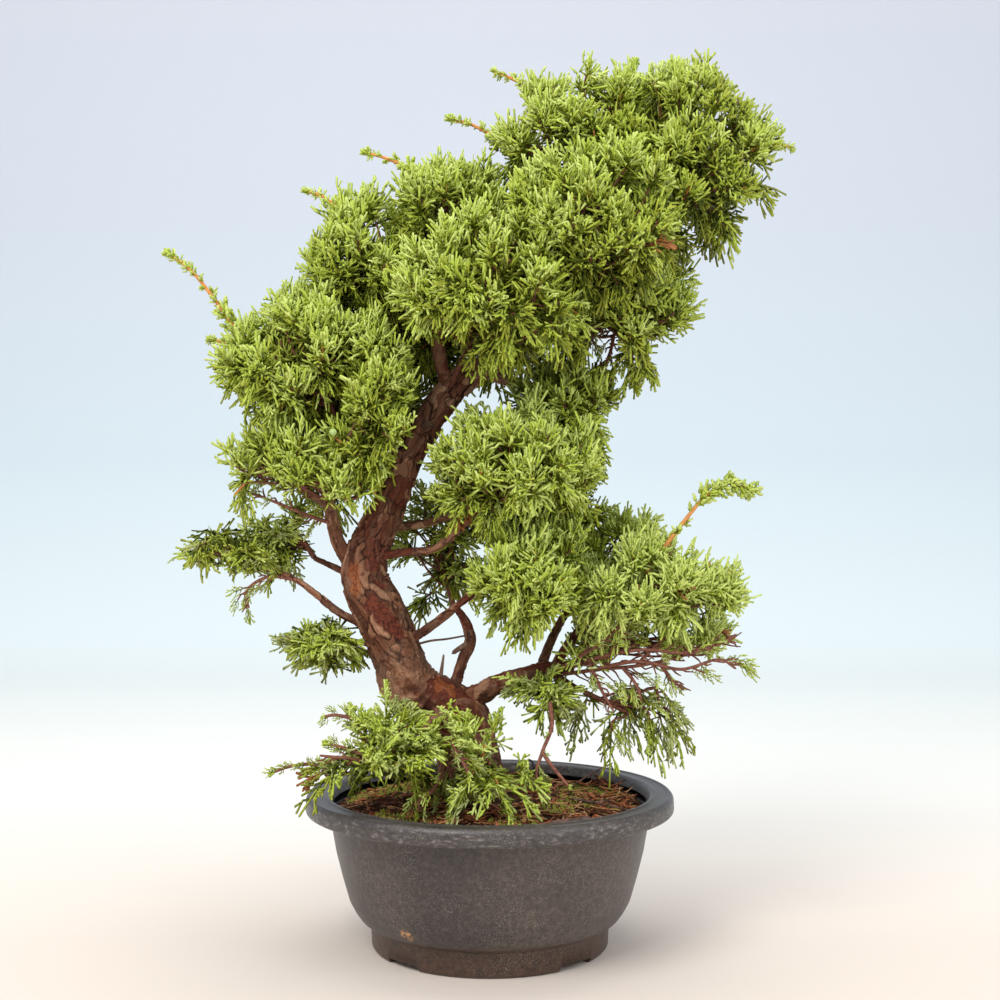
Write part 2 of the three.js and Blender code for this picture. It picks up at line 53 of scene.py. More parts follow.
# Limbs, as centreline and radius. Each bough starts inside the limb that carries it
TRUNK = [
    (-11, 20, SOIL_TOP, 19.5), (-14, 20, 111, 20.5), (-17, 19, 131, 20.3), (-21, 17, 149, 19.4),
    (-36, 13, 160, 20.5), (-54, 8, 172, 20.5), (-63, 3, 193, 17.3), (-70, -1, 212, 17), (-78, -4, 231, 17.2),
    (-86, -6, 250, 14.8), (-83, -5, 270, 13.2), (-76, -3, 285, 11.6), (-68, 0, 302, 10), (-61, 3, 319, 9.6),
    (-52, 6, 338, 9.5), (-41, 9, 357, 9.4), (-30, 12, 374, 9.2), (-17, 14, 387, 8.6), (0, 14, 395, 7.8),
    (21, 14, 409, 6.9), (46, 13, 432, 6.1), (73, 12, 460, 5.3), (99, 11, 488, 4.4), (124, 9, 517, 3.3),
]
BOUGHS = {
    "left_rise": [(-90, -6, 250, 5), (-103, -10, 276, 4.4), (-108, -14, 302, 4), (-105, -18, 322, 3.6),
                  (-98, -20, 344, 3)],
    "left_mid": [(-108, -14, 298, 2.8), (-118, -15, 304, 2.4), (-128, -17, 309, 1.9)],
    "left_low": [(-82, -4, 215, 3.1), (-100, -6, 224, 2.7), (-132, -7, 248, 2.2), (-148, -8, 254, 1.8)],
    "left_back": [(-86, -2, 248, 2.8), (-104, 10, 254, 2.3), (-122, 17, 262, 1.8)],
    "left_rear": [(-53, 7, 336, 3), (-66, 15, 346, 2.6), (-84, 26, 352, 2.1)],
    "right_inner": [(-72, -1, 205, 3.7), (-52, -3, 209, 3.1), (-39, -3, 217, 2.8), (-25, -4, 228, 2.7),
                    (-8, -10, 242, 2.3)],
    "twisted": [(-27, 14, 164, 4.4), (-23, 14, 179, 3.9), (-19, 15, 191, 3.5), (-14, 18, 203, 3.7),
                (-16, 22, 214, 3.3), (-26, 31, 228, 2.3)],
    "right_low": [(-24, 15, 160, 8), (-5, 13, 169, 7), (5, 12, 175, 6.6), (18, 9, 179, 6.2),
                  (36, 4, 185, 5.5), (56, 0, 189, 4.4)],
    "right_shoot": [(44, 2, 187, 3.6), (54, -8, 206, 3.1), (72, -16, 226, 2.4)],
    "right_rear": [(34, 5, 184, 3.5), (44, 20, 208, 2.9), (60, 34, 234, 2.2)],
    "pendant": [(40, 3, 185, 2.4), (53, 3, 177, 2), (64, 1, 171, 1.5)],
    "mid_front": [(-82, -6, 262, 3.3), (-62, -10, 266, 2.8), (-38, -14, 269, 2.5), (-18, -22, 284, 2)],
    "mid_back": [(-76, -2, 284, 3.2), (-58, 6, 284, 2.8), (-26, 18, 291, 2.4), (6, 36, 302, 1.9)],
    "crown_left": [(-26, 12, 374, 5.8), (-34, 12, 397, 5), (-37, 11, 420, 4.4), (-40, 10, 447, 3.6),
                   (-43, 8, 462, 2.8)],
    "crown_west": [(-37, 11, 424, 3), (-50, 6, 444, 2.5), (-62, 2, 456, 2)],
    "crown_east": [(21, 14, 408, 3.4), (46, 8, 412, 2.8), (66, 2, 416, 2.1)],
    "low_east": [(-6, 14, 391, 3.2), (14, 14, 383, 2.7), (34, 12, 376, 2)],
    "top_mid": [(84, 12, 472, 3), (81, 5, 494, 2.4), (75, -1, 510, 1.9)],
}


class Mass(NamedTuple):
    """A mass of foliage."""
    centre: tuple
    reach: tuple  # along X, Y and Z
    start: tuple  # of its stem
    habit: str = "tuft"
    # Painted light and shade: fresh makes a mass's sprays lighter or darker for how much light reaches it
    fresh: float = 0.0  # how much lighter its sprays are
    bare: float = 0.0  # part of its lower tufts that are thin
    density: float = 1.0
    dead: float = 0.002  # part of its sprays


MASSES = {
    "crown_top": Mass((130, 0, 534), (74, 68, 78), (124, 9, 517), fresh=-0.12),
    "crown_top_mid": Mass((62, -6, 546), (68, 64, 58), (75, -1, 510), fresh=-0.1),
    "crown_top_left": Mass((-28, 4, 492), (62, 60, 52), (-43, 8, 462)),
    "crown_west": Mass((-84, -8, 462), (52, 58, 56), (-62, 2, 456)),
    "crown_front": Mass((6, -60, 440), (78, 56, 64), (-30, 12, 374), fresh=0.08),
    "crown_centre": Mass((66, -58, 480), (68, 54, 66), (46, 13, 432), fresh=-0.02),
    "crown_east": Mass((88, -8, 428), (58, 62, 54), (66, 2, 416)),
    "crown_low_east": Mass((54, 6, 362), (48, 58, 54), (34, 12, 376)),
    "crown_back": Mass((-24, 62, 440), (78, 60, 74), (0, 14, 395)),
    "crown_back_east": Mass((78, 60, 476), (74, 58, 74), (62, 12, 449)),
    "left_top": Mass((-118, -28, 394), (72, 60, 60), (-98, -20, 344), fresh=0.06),
    "left_mid": Mass((-122, -24, 320), (70, 58, 50), (-128, -17, 309), fresh=0.06, bare=0.65),
    "left_inner": Mass((-78, -46, 366), (42, 42, 66), (-61, 3, 319), fresh=0.05),
    "left_rear": Mass((-100, 44, 370), (66, 58, 70), (-84, 26, 352)),
    "left_back": Mass((-140, 24, 276), (48, 42, 40), (-122, 17, 262), "fan", bare=0.5, density=0.7),
    "left_tip": Mass((-178, -8, 268), (38, 30, 17), (-148, -8, 254), "fan"),
    "mid_front": Mass((18, -44, 324), (70, 54, 54), (-18, -22, 284), fresh=0.26),
    "mid_low": Mass((30, -32, 252), (52, 50, 48), (-8, -10, 242), fresh=0.2),
    "mid_back": Mass((36, 60, 312), (74, 56, 66), (6, 36, 302)),
    "right_high": Mass((104, -18, 244), (74, 60, 44), (72, -16, 226), fresh=0.84, density=0.92, dead=0.02),
    "right_low": Mass((108, -8, 206), (74, 52, 30), (56, 0, 189), fresh=0.84, bare=0.85, density=0.85,
                      dead=0.03),
    "right_back": Mass((84, 46, 256), (58, 50, 52), (60, 34, 234), density=0.6),
    "pendant": Mass((94, -2, 157), (46, 34, 33), (64, 1, 171), "hang", 0.25, 0.3),
    "under_left": Mass((-114, 6, 206), (38, 32, 24), (-69, 2, 199), "fan"),
    "right_under": Mass((36, -12, 170), (32, 34, 30), (24, 7, 181), "fan", 0.2),
    "base_left": Mass((-70, -50, 138), (54, 42, 36), (-27, 15, 157), "broad", 0.02, dead=0.025),
    "base_right": Mass((-2, -54, 132), (42, 42, 36), (-15, 20, 121), "broad", 0.34, dead=0.018),
    "inner_back": Mass((-40, 54, 268), (48, 42, 58), (-26, 31, 228), "fan", density=0.8),
}

# Tufts that the photograph shows where a mass alone would leave a bay
MORE_TUFTS = {
    "base_left": [(-66, -52, 176), (-54, -56, 174), (-44, -54, 166), (-58, -60, 160), (-86, -54, 164),
                  (-36, -60, 152)],
    "base_right": [(-22, -58, 168), (-8, -56, 172), (6, -54, 168), (20, -46, 164), (-16, -66, 156),
                   (10, -62, 154), (28, -40, 152)],
    "pendant": [(58, -4, 147), (76, -8, 151), (92, -6, 145), (108, 2, 154), (113, -8, 138), (122, 0, 134),
                (129, -6, 138), (102, 8, 166), (133, -2, 154)],
    "crown_top": [(128, -52, 556), (142, -48, 548), (134, -40, 568), (120, -54, 540)],
    "right_under": [(16, -14, 172), (10, -20, 162), (22, -24, 154)],
    "crown_top_left": [(-2, -20, 536), (4, -24, 522), (-8, -24, 528)],
    "crown_west": [(-74, -10, 518), (-66, -16, 510)],
    "left_top": [(-138, -22, 452), (-128, -26, 448)],
    "crown_top_mid": [(98, -12, 598), (92, -16, 594)],
}

# Shoots: long tips that stand out of the foliage, by style, from inside a mass to the tip
SHOOTS = [
    ("scaly", (-160, -26, 404), (-182, -26, 434), (-200, -26, 456), (-217, -26, 468)),
    ("scaly", (148, -8, 528), (176, -6, 538), (196, -4, 544), (208, -4, 540)),
    ("scaly", (40, -6, 566), (22, -6, 584), (10, -6, 590), (0, -6, 594)),
    ("scaly", (94, -6, 566), (96, -6, 586), (99, -6, 603)),
    ("scaly", (22, -4, 538), (4, -4, 548), (-12, -4, 557), (-31, -4, 562)),
    ("scaly", (-40, -8, 514), (-58, -8, 528), (-72, -8, 534), (-88, -8, 538)),
    ("scaly", (-92, -8, 490), (-104, -8, 500), (-114, -8, 508), (-128, -8, 512)),
    ("leader", (104, -30, 254), (122, -30, 279), (134, -28, 294), (144, -26, 305), (160, -22, 313),
     (178, -20, 307)),
    ("tassel", (40, -34, 168), (40, -52, 154), (34, -60, 140), (30, -64, 126), (34, -68, 116)),
    ("tassel", (34, -60, 140), (40, -66, 132), (47, -70, 124), (52, -72, 118)),
    ("fan", (-92, -48, 124), (-116, -48, 130), (-132, -48, 128), (-144, -47, 123)),
    ("fan", (-70, -48, 152), (-90, -48, 160), (-102, -48, 162), (-110, -47, 160)),
    ("fan", (-124, 2, 206), (-136, 2, 208), (-146, 2, 205)),
    ("fan", (-72, -56, 134), (-92, -58, 142), (-108, -58, 146)),
    ("scaly", (-150, -20, 398), (-172, -20, 406), (-190, -20, 410)),
    ("scaly", (150, -20, 236), (160, -20, 252), (168, -20, 260)),
]

# Bare twigs that show under the masses: how far their twiglets reach, and their line
TWIG_LINES = [
    (13, (50, -6, 184), (74, -22, 189), (100, -26, 192), (127, -26, 198), (151, -24, 205), (164, -22, 212)),
    (8, (88, -26, 191), (96, -28, 181), (101, -26, 169)),
    (8, (112, -28, 194), (121, -30, 183), (128, -28, 176)),
    (9, (98, -26, 192), (108, -32, 204), (118, -34, 213)),
    (9, (76, -22, 189), (82, -30, 203), (92, -34, 216)),
    (10, (46, -14, 188), (63, -28, 200), (76, -36, 210), (86, -40, 220)),
    (11, (56, -16, 191), (79, -34, 200), (102, -42, 204), (126, -42, 202), (147, -38, 207)),
    (10, (72, -24, 190), (99, -38, 196), (126, -40, 191), (152, -36, 197), (162, -34, 191)),
    (8, (66, -22, 194), (73, -32, 178), (81, -38, 164)),
    (9, (56, 0, 414), (66, -2, 416), (76, -2, 413), (86, 0, 415), (94, 2, 419)),
    (9, (84, -2, 414), (82, -6, 404), (78, -8, 394), (74, -8, 386)),
    (10, (-108, -14, 300), (-124, -26, 310), (-142, -34, 318), (-158, -36, 322)),
    (9, (-106, -14, 286), (-122, -26, 292), (-140, -34, 300), (-156, -36, 306)),
    (9, (-146, -8, 254), (-160, -12, 262), (-176, -12, 266), (-196, -12, 266)),
    (7, (-132, -7, 248), (-150, -14, 250), (-164, -16, 240), (-162, -16, 230)),
    (8, (-74, -50, 132), (-92, -60, 136), (-108, -62, 138)),
    (9, (-26, -30, 140), (-30, -50, 128), (-36, -62, 116), (-48, -70, 108)),
    (9, (-18, -14, 130), (-14, -44, 122), (-8, -64, 114), (6, -72, 106)),
    (7, (-20, -30, 140), (-24, -56, 146), (-20, -70, 140), (-12, -80, 130)),
]

# Openings in the foliage: middle and half size in pixels of the picture
OPENINGS = np.array([
    (461, 650, 32, 27), (266, 607, 70, 19), (398, 458, 7, 12), (552, 742, 20, 22), (335, 737, 24, 11),
    (533, 702, 10, 8), (268, 496, 20, 14), (320, 540, 14, 26), (712, 522, 22, 18), (672, 350, 24, 16),
    (626, 448, 22, 44), (640, 676, 34, 9), (700, 672, 26, 12), (608, 338, 19, 15), (594, 353, 9, 6),
    (563, 163, 8, 8), (379, 237, 9, 8), (446, 212, 6, 5), (598, 497, 15, 8), (528, 738, 13, 13),
    (322, 752, 16, 9), (632, 648, 28, 7), (318, 814, 20, 20), (486, 400, 20, 9), (512, 104, 18, 13),
    (412, 146, 18, 9), (308, 222, 16, 20), (262, 290, 14, 12), (220, 486, 16, 26), (212, 578, 46, 12),
    (408, 571, 20, 14), (332, 684, 14, 14), (606, 688, 13, 17), (655, 665, 60, 8), (560, 66, 24, 12),
    (752, 56, 40, 30), (752, 222, 16, 22), (744, 664, 14, 14), (332, 424, 7, 6), (560, 620, 9, 6),
    (388, 620, 9, 9), (425, 545, 8, 6), (485, 726, 7, 12), (498, 757, 9, 14), (466, 764, 5, 8),
], float)


# Numbers and curves
def unit(v):
    return v / np.maximum(np.linalg.norm(v, axis=-1, keepdims=True), 1e-9)


def catmull_rom(points, steps):
    """Centripetal Catmull-Rom through the points, with the other columns blended in a line."""
    points = np.asarray(points, float)
    first, last = 2 * points[0] - points[1], 2 * points[-1] - points[-2]
    padded = np.vstack([first, points, last])
    t = np.linspace(0, 1, steps, endpoint=False)[:, None]
    rows = []
    for a, b, c, d in zip(padded, padded[1:], padded[2:], padded[3:]):
        p, q, r, s = a[:3], b[:3], c[:3], d[:3]
        before, here, after = (math.sqrt(np.linalg.norm(j - i)) for i, j in ((p, q), (q, r), (r, s)))
        leave = ((q - p) / before - (r - p) / (before + here) + (r - q) / here) * here
        arrive = ((r - q) / here - (s - q) / (here + after) + (s - r) / after) * here
        place = q + leave * t + (3 * (r - q) - 2 * leave - arrive) * t**2
        place += (2 * (q - r) + leave + arrive) * t**3
        rows.append(np.hstack([place, b[3:] + (c[3:] - b[3:]) * t]))
    return np.vstack(rows + [points[-1:]])


def tapering(points, thick, thinner, steps):
    """A smooth line through the points, with a radius that falls evenly from its start to its end."""
    last = len(points) - 1
    return catmull_rom([(*p, thick - thinner * n / last) for n, p in enumerate(points)], steps)


def lengths_along(line):
    return np.concatenate([[0], np.cumsum(np.linalg.norm(np.diff(line[:, :3], axis=0), axis=1))])


def point_at(line, lengths, place):
    """The line's columns at one length or at several."""
    return np.stack([np.interp(place, lengths, column) for column in line.T], axis=-1)


def lattice(cell, seed):
    """A number from 0 to 1 for each whole-number cell."""
    i, j, k = (cell[..., n].astype(np.int64) for n in range(3))
    h = (i * 374761393 + j * 668265263 + k * 2147483647 + seed * 974634777) & 0xFFFFFFFF
    h = ((h ^ (h >> 13)) * 1274126177) & 0xFFFFFFFF
    return ((h ^ (h >> 16)) & 0xFFFF) / 65535.0


def noise(place, seed=0):
    """Smooth value noise from 0 to 1."""
    cell = np.floor(place)
    f = place - cell
    f = f * f * (3 - 2 * f)
    total = 0
    for corner in np.ndindex(2, 2, 2):
        total = total + np.prod(np.where(corner, f, 1 - f), axis=-1) * lattice(cell + corner, seed)
    return total


def smoothstep(low, high, x):
    t = np.clip((x - low) / (high - low), 0, 1)
    return t * t * (3 - 2 * t)


def ring_angles(sides):
    return np.arange(sides) * FULL_TURN / sides


def frames_along(line):
    """Unit tangents and two cross directions that turn as little as they can."""
    tangent = unit(np.gradient(line, axis=0))
    across = np.array([1.0, 0, 0])
    if abs(tangent[0] @ across) > 0.95:
        across = np.array([0, 1.0, 0])
    sides = []
    for along in tangent:
        across = unit(across - along * (along @ across))
        sides.append(across)
    sides = np.array(sides)
    return tangent, sides, np.cross(tangent, sides)


# Meshes
def make_mesh(name, vertices, faces, material, smooth=True, attributes=None):
    mesh = bpy.data.meshes.new(name)
    mesh.vertices.add(len(vertices))
    mesh.vertices.foreach_set("co", (vertices * MM).astype(np.float32).ravel())
    mesh.loops.add(faces.size)
    mesh.loops.foreach_set("vertex_index", faces.astype(np.int32).ravel())
    mesh.polygons.add(len(faces))
    mesh.polygons.foreach_set("loop_start", np.arange(0, faces.size, faces.shape[1], dtype=np.int32))
    mesh.polygons.foreach_set("use_smooth", np.full(len(faces), smooth))
    for key, values in (attributes or {}).items():
        layer = mesh.attributes.new(key, "FLOAT", "POINT")
        layer.data.foreach_set("value", np.asarray(values, np.float32).ravel())
    mesh.update(calc_edges=True)
    mesh.validate()
    mesh.materials.append(material)
    piece = bpy.data.objects.new(name, mesh)
    bpy.context.scene.collection.objects.link(piece)
    return piece


def dress(piece, slot, *nodes):
    """The piece goes with the body and stands for the named nodes."""
    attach(piece, "root")
    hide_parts(*nodes)


class Heap:
    """Many small shapes that become one."""

    def __init__(self):
        self.vertices, self.faces, self.count = [], [], 0

    def add(self, vertices, faces):
        self.vertices.append(vertices)
        self.faces.append(faces + self.count)
        self.count += len(vertices)

    def add_copies(self, placed, faces):
        """One shape at several places, from its vertices at each."""
        copies, size = placed.shape[:2]
        self.add(placed.reshape(-1, 3), (faces + (np.arange(copies) * size)[:, None, None]).reshape(-1, 3))

    def whole(self):
        return np.vstack(self.vertices), np.vstack(self.faces)

    def make(self, name, material, smooth=True):
        return make_mesh(name, *self.whole(), material, smooth)


def grid(x, y, z):
    """The vertices of a grid, row after row."""
    return np.stack([x, y, z], axis=2).reshape(-1, 3)


def grid_faces(rows, columns, closed=True):
    """Quads between the places of a grid whose columns may close in a ring."""
    spans = columns if closed else columns - 1
    row, column = np.meshgrid(np.arange(rows - 1), np.arange(spans), indexing="ij")
    a, b = (row * columns + column).ravel(), (row * columns + (column + 1) % columns).ravel()
    return np.stack([a, b, b + columns, a + columns], axis=1)


TURNED_OVER = [0, 3, 2, 1]  # a quad's corners the other way round


def tube_faces(rings, sides):
    """Triangles of a tube whose last ring is followed by one tip vertex."""
    quads = grid_faces(rings, sides)
    last = (rings - 1) * sides + np.arange(sides)
    cap = np.stack([last, np.roll(last, -1), np.full(sides, rings * sides)], axis=1)
    return np.vstack([quads[:, [0, 1, 2]], quads[:, [0, 2, 3]], cap])


def spokes(across, third, sides):
    """The angle of each side, and unit directions to every side from every ring."""
    angle = ring_angles(sides)
    return angle, across[:, None] * np.cos(angle)[:, None] + third[:, None] * np.sin(angle)[:, None]


def tube(line, radii, sides, point=1.6):
    """A tapering tube whose end comes to a point this many radii on."""
    line, radii = np.asarray(line, float), np.asarray(radii, float)
    tangent, across, third = frames_along(line)
    rings = line[:, None] + spokes(across, third, sides)[1] * radii[:, None, None]
    tip = line[-1] + tangent[-1] * radii[-1] * point
    return np.vstack([rings.reshape(-1, 3), tip]), tube_faces(len(line), sides)


# Materials
def new_material(name, roughness, specular=0.5):
    made = bpy.data.materials.new(name)
    made.use_nodes = True
    shader = made.node_tree.nodes["Principled BSDF"]
    shader.inputs["Roughness"].default_value = roughness
    shader.inputs["Specular IOR Level"].default_value = specular
    return made, made.node_tree


def add_node(tree, kind, **settings):
    """A node with its inputs linked to the outputs given, or set to the values given."""
    made = tree.nodes.new(kind)
    for key, value in settings.items():
        if isinstance(value, bpy.types.NodeSocket):
            tree.links.new(value, made.inputs[key])
        elif key in made.inputs:
            made.inputs[key].default_value = value
        else:
            setattr(made, key, value)
    return made


def mapped(tree, **settings):
    """The object's own place in metres, scaled, turned or moved."""
    where = add_node(tree, "ShaderNodeTexCoord").outputs["Object"]
    return add_node(tree, "ShaderNodeMapping", Vector=where, **settings).outputs["Vector"]


def noise_node(tree, scale, detail=3.0, stretch=(1, 1, 1)):
    """Noise with this many cells per metre."""
    where = mapped(tree, Scale=stretch)
    return add_node(tree, "ShaderNodeTexNoise", Vector=where, Scale=scale, Detail=detail).outputs["Fac"]


def height_node(tree, top, tilt=0.0):
    """Height as a part of top, which is in metres. Tilted, it grows with the distance as well."""
    split = add_node(tree, "ShaderNodeSeparateXYZ", Vector=mapped(tree, Rotation=(tilt, 0, 0)))
    span = add_node(tree, "ShaderNodeMapRange", Value=split.outputs["Z"])
    span.inputs["From Max"].default_value = top
    return span.outputs["Result"]


def attribute(tree, name):
    return add_node(tree, "ShaderNodeAttribute", attribute_name=name).outputs["Fac"]


def linear(colour):
    """A display colour of 0 to 255 as linear light."""
    return [((c / 255 + 0.055) / 1.055) ** 2.4 if c > 10 else c / 255 / 12.92 for c in colour]


def ramp(tree, source, *stops):
    """Colours along a source. A stop is its place and a display colour, or its place and a plain amount."""
    made = add_node(tree, "ShaderNodeValToRGB", Fac=source)
    elements = made.color_ramp.elements
    while len(elements) < len(stops):
        elements.new(0.5)
    for element, (place, *colour) in zip(elements, stops):
        element.position = place
        element.color = (*(linear(colour) if len(colour) == 3 else colour * 3), 1)
    return made.outputs["Color"]


def blend(tree, amount, first, second, mode="MIX"):
    """Mix two colour outputs by an amount, which is a number or an output."""
    made = add_node(tree, "ShaderNodeMix", data_type="RGBA", blend_type=mode, Factor=amount)
    tree.links.new(first, made.inputs[6])
    tree.links.new(second, made.inputs[7])
    return made.outputs[2]


def multiply(tree, first, second, amount=1.0):
    return blend(tree, amount, first, second, "MULTIPLY")


def paint(tree, colour, height=None, strength=0.0, distance=0.0004):
    """The material's colour, and its bump where that has a strength."""
    shader = tree.nodes["Principled BSDF"]
    tree.links.new(colour, shader.inputs["Base Color"])
    if strength:
        relief = add_node(tree, "ShaderNodeBump", Strength=strength, Distance=distance, Height=height)
        tree.links.new(relief.outputs["Normal"], shader.inputs["Normal"])


def speckled(name, roughness, scale, dark, light, bumps=0.0, specular=0.5):
    """A material whose colour wanders between dark and light with one noise."""
    made, tree = new_material(name, roughness, specular)
    wander = noise_node(tree, scale)
    paint(tree, ramp(tree, wander, (0.3, *dark), (0.7, *light)), wander, bumps)
    return made


def lay_out(name, heap, dark, light, roughness, scale=300, slot="soil", node="soil", smooth=True, **look):
    """A heap's piece in a speckled material of its own name."""
    dress(heap.make(name, speckled(name, roughness, scale, dark, light, **look), smooth), slot, node)


# Limbs with bark
TWIST = 0.011  # radians of spiral grain for each millimetre
FLARE_HEIGHT = 11.0
WRINKLED = 85.0  # how far along the trunk its bend is, where the bark is wrinkled across
PEEL_CELL, FLAKE_CELL = [8.0, 8.0, 30.0], [6.4, 6.4, 16.0]  # across the limb twice, and along it

# Places on the trunk, with a radius: the outer bark off, kept whole, or off down to the orange layer
PEELED = [(-79, -20, 232, 4.5), (-73, -20, 225, 5.5), (-67, -19, 218, 5.5), (-61, -18, 211, 4.5),
          (-58, -6, 322, 5), (-56, -5, 312, 5.5), (-61, -7, 303, 4)]
WHOLE = [(-62, -18, 238, 10), (-50, -16, 222, 11), (-44, -12, 206, 11), (-76, -18, 204, 12),
         (-62, -18, 184, 14), (-84, -20, 222, 9), (-46, -10, 158, 10), (-4, 4, 166, 10), (16, 2, 177, 9),
         (-22, 12, 182, 9), (-16, 14, 202, 9)]
BARE = [(-89, -20, 244, 4.5), (-91, -20, 254, 4.5), (-34, -4, 177, 4.5), (-26, -4, 175, 4.5)]


def walk(path, step):
    """The limb's centreline and radius at even steps, with the length so far."""
    rows = catmull_rom(path, 24)
    length = lengths_along(rows)
    even = np.arange(0, length[-1], step)
    return point_at(rows, length, even), even


def cell_pattern(place, seed):
    """Worley cells: how far each place is from a cell's border, and the cell's own random number."""
    home = np.floor(place)
    first, second, tone = np.full(len(place), 9.0), np.full(len(place), 9.0), np.zeros(len(place))
    for offset in np.ndindex(3, 3, 3):
        cell = home + np.array(offset) - 1
        spot = cell + np.stack([lattice(cell, seed + n) for n in range(3)], axis=1)
        far = np.linalg.norm(place - spot, axis=1)
        nearer = far < first
        second = np.where(nearer, first, np.minimum(second, far))
        tone = np.where(nearer, lattice(cell, seed + 5), tone)
        first = np.where(nearer, far, first)
    return second - first, tone


def near_patches(vertices, patches):
    total, ragged = np.zeros(len(vertices)), 0.7 * (noise(vertices / 3, 77) - 0.5)
    for *middle, radius in patches:
        far = np.linalg.norm((vertices - middle) / [1, 1.6, 1.5], axis=1) / radius
        total = np.maximum(total, 1 - smoothstep(0.75, 1.05, far + ragged))
    return total


def bark_limb(path, step, sides, relief, seed, flare=False):
    """A limb's vertices, faces and bark layers: crack, flake tone with painted shade along the wrinkles, and
    peeled.
    """
    rows, length = walk(path, step)
    centre, radius = rows[:, :3], rows[:, 3:]
    tangent, across, third = frames_along(centre)
    angle, spoke = spokes(across, third, sides)
    turn = angle + TWIST * length[:, None]
    along = np.repeat(length[:, None], sides, axis=1)
    around = grid(np.cos(turn) * radius, np.sin(turn) * radius, along)
    size = max(radius.mean(), 2.5)

    def wander(wide, long, more, shift=0):
        return noise(around / [wide, wide, long] + shift, seed + more) - 0.5

    warp = 1.3 * np.stack([wander(7.0, 7.0, more) for more in (11, 12, 13)], axis=1)
    fibre, wrinkle = wander(0.8, 9.0, 30, warp), wander(10.0, 2.6, 31, warp * 0.5)
    border, tone = cell_pattern(around / PEEL_CELL + warp * 0.9, seed + 20)
    edge, flake = cell_pattern(around / FLAKE_CELL + warp * 0.8, seed + 50)
    skin = (centre[:, None] + spoke * radius[:, None]).reshape(-1, 3)
    peeled = smoothstep(0.68, 0.73, tone) * smoothstep(0.0, 0.07, border)
    peeled = np.maximum(peeled * (1 - near_patches(skin, WHOLE)), near_patches(skin, PEELED))
    bent = np.exp(-((around[:, 2] - WRINKLED) / 30.0) ** 2) if flare else np.full(len(around), 0.2)
    crack = 1 - (1 - smoothstep(0.0, 0.12, edge)) * (1 - 0.75 * bent)
    curl = np.exp(-(((edge - 0.13) / 0.06) ** 2)) * (1 - bent)
    plate = 0.5 + (0.55 * flake * crack - 0.35 * (1 - crack) + 0.16 * curl) * (1 - 0.6 * bent)
    outer = 1 - peeled
    lift = wander(size * 0.8, size * 4.6, 0) * size * 0.36 + wander(size * 0.6, size * 0.9, 3) * size * 0.14
    lift += relief * (outer * plate - 0.4 + 0.34 * fibre * (1 - 0.5 * bent) + 1.2 * wrinkle * bent * outer)
    swell = radius + lift.reshape(len(rows), sides)
    if flare:
        lobes = 0.28 + 0.16 * np.cos(5 * np.arctan2(spoke[..., 1], spoke[..., 0]) + 0.6)
        swell = swell * (1 + np.exp((SOIL_TOP - centre[:, 2:]) / FLARE_HEIGHT) * lobes)
    surface = (centre[:, None] + spoke * swell[..., None]).reshape(-1, 3)
    tip = centre[-1] + tangent[-1] * radius[-1] * 0.7
    # Cell tone and fibre grain, with painted shade on the bend: lighter on the wrinkles' ridges, darker in
    # their furrows
    shade = 0.8 * flake + (0.48 - 0.2 * bent) * (fibre + 0.18) + 0.9 * (wrinkle + 0.1) * bent
    layers = {"crack": crack, "flake": shade, "peeled": peeled}
    layers = {key: np.append(values, 0.5) for key, values in layers.items()}
    return np.vstack([surface, tip]), tube_faces(len(rows), sides), layers


def bark_material(name):
    """Pinkish grey-brown flakes, dark red where they have peeled, a few bare orange places, and painted light
    on the plates of the trunk above about 240 mm.
    """
    made, tree = new_material(name, 0.78, 0.3)
    fine, flake, crack = noise_node(tree, 520, 4), attribute(tree, "flake"), attribute(tree, "crack")
    flakes = ramp(tree, flake, (0.1, 73, 35, 21), (0.4, 108, 65, 44), (0.7, 138, 93, 68), (1, 178, 136, 108))
    greyer = ramp(tree, fine, (0.3, 102, 68, 52), (0.7, 158, 122, 98))
    colour = blend(tree, ramp(tree, noise_node(tree, 55, 4), (0.45, 0), (0.65, 0.7)), flakes, greyer)
    reds = ramp(tree, fine, (0.3, 76, 32, 22), (0.7, 124, 60, 40))
    colour = blend(tree, attribute(tree, "peeled"), colour, reds)
    colour = multiply(tree, colour, ramp(tree, crack, (0.0, 54, 27, 20), (0.75, 1)), 0.9)
    pits = ramp(tree, noise_node(tree, 1050, 3), (0.36, 200, 184, 174), (0.52, 1))
    colour = multiply(tree, colour, pits, 0.9)
    # Painted light: the plates of the trunk above about 240 mm are made lighter, to lift the shade that the
    # foliage casts there
    upper_painted_light = ramp(tree, flake, (0.2, 128, 78, 56), (0.8, 216, 170, 138))
    painted_light_by_height = ramp(tree, height_node(tree, 1.0), (0.24, 0), (0.33, 0.42))
    colour = blend(tree, painted_light_by_height, colour, blend(tree, crack, colour, upper_painted_light))
    orange = ramp(tree, fine, (0.3, 112, 54, 26), (0.7, 168, 96, 52))
    colour = blend(tree, ramp(tree, attribute(tree, "bare"), (0.2, 0), (0.8, 0.7)), colour, orange)
    paint(tree, colour, fine, 0.55)
    return made


def make_limb_piece(name, limbs, nodes, material):
    heap, shades = Heap(), []
    for settings in limbs:
        vertices, faces, layers = bark_limb(*settings)
        heap.add(vertices, faces)
        shades.append(layers)
    vertices, faces = heap.whole()
    layers = {key: np.concatenate([limb[key] for limb in shades]) for key in shades[0]}
    layers["bare"] = near_patches(vertices, BARE)
    dress(make_mesh(name, vertices, faces, material, True, layers), "bark", *nodes)


bark = bark_material("bark")
make_limb_piece("trunk_bark", [(TRUNK, 0.95, 150, 1.9, 3, True)], ["trunk"], bark)
bough_limbs = [(path, 1.0, 44 if path[0][3] > 6 else 22, 0.3 * path[0][3] ** 0.6, 40 + 70 * order)
               for order, path in enumerate(BOUGHS.values())]
make_limb_piece("bough_bark", bough_limbs, [f"bough_{name}" for name in BOUGHS], bark)

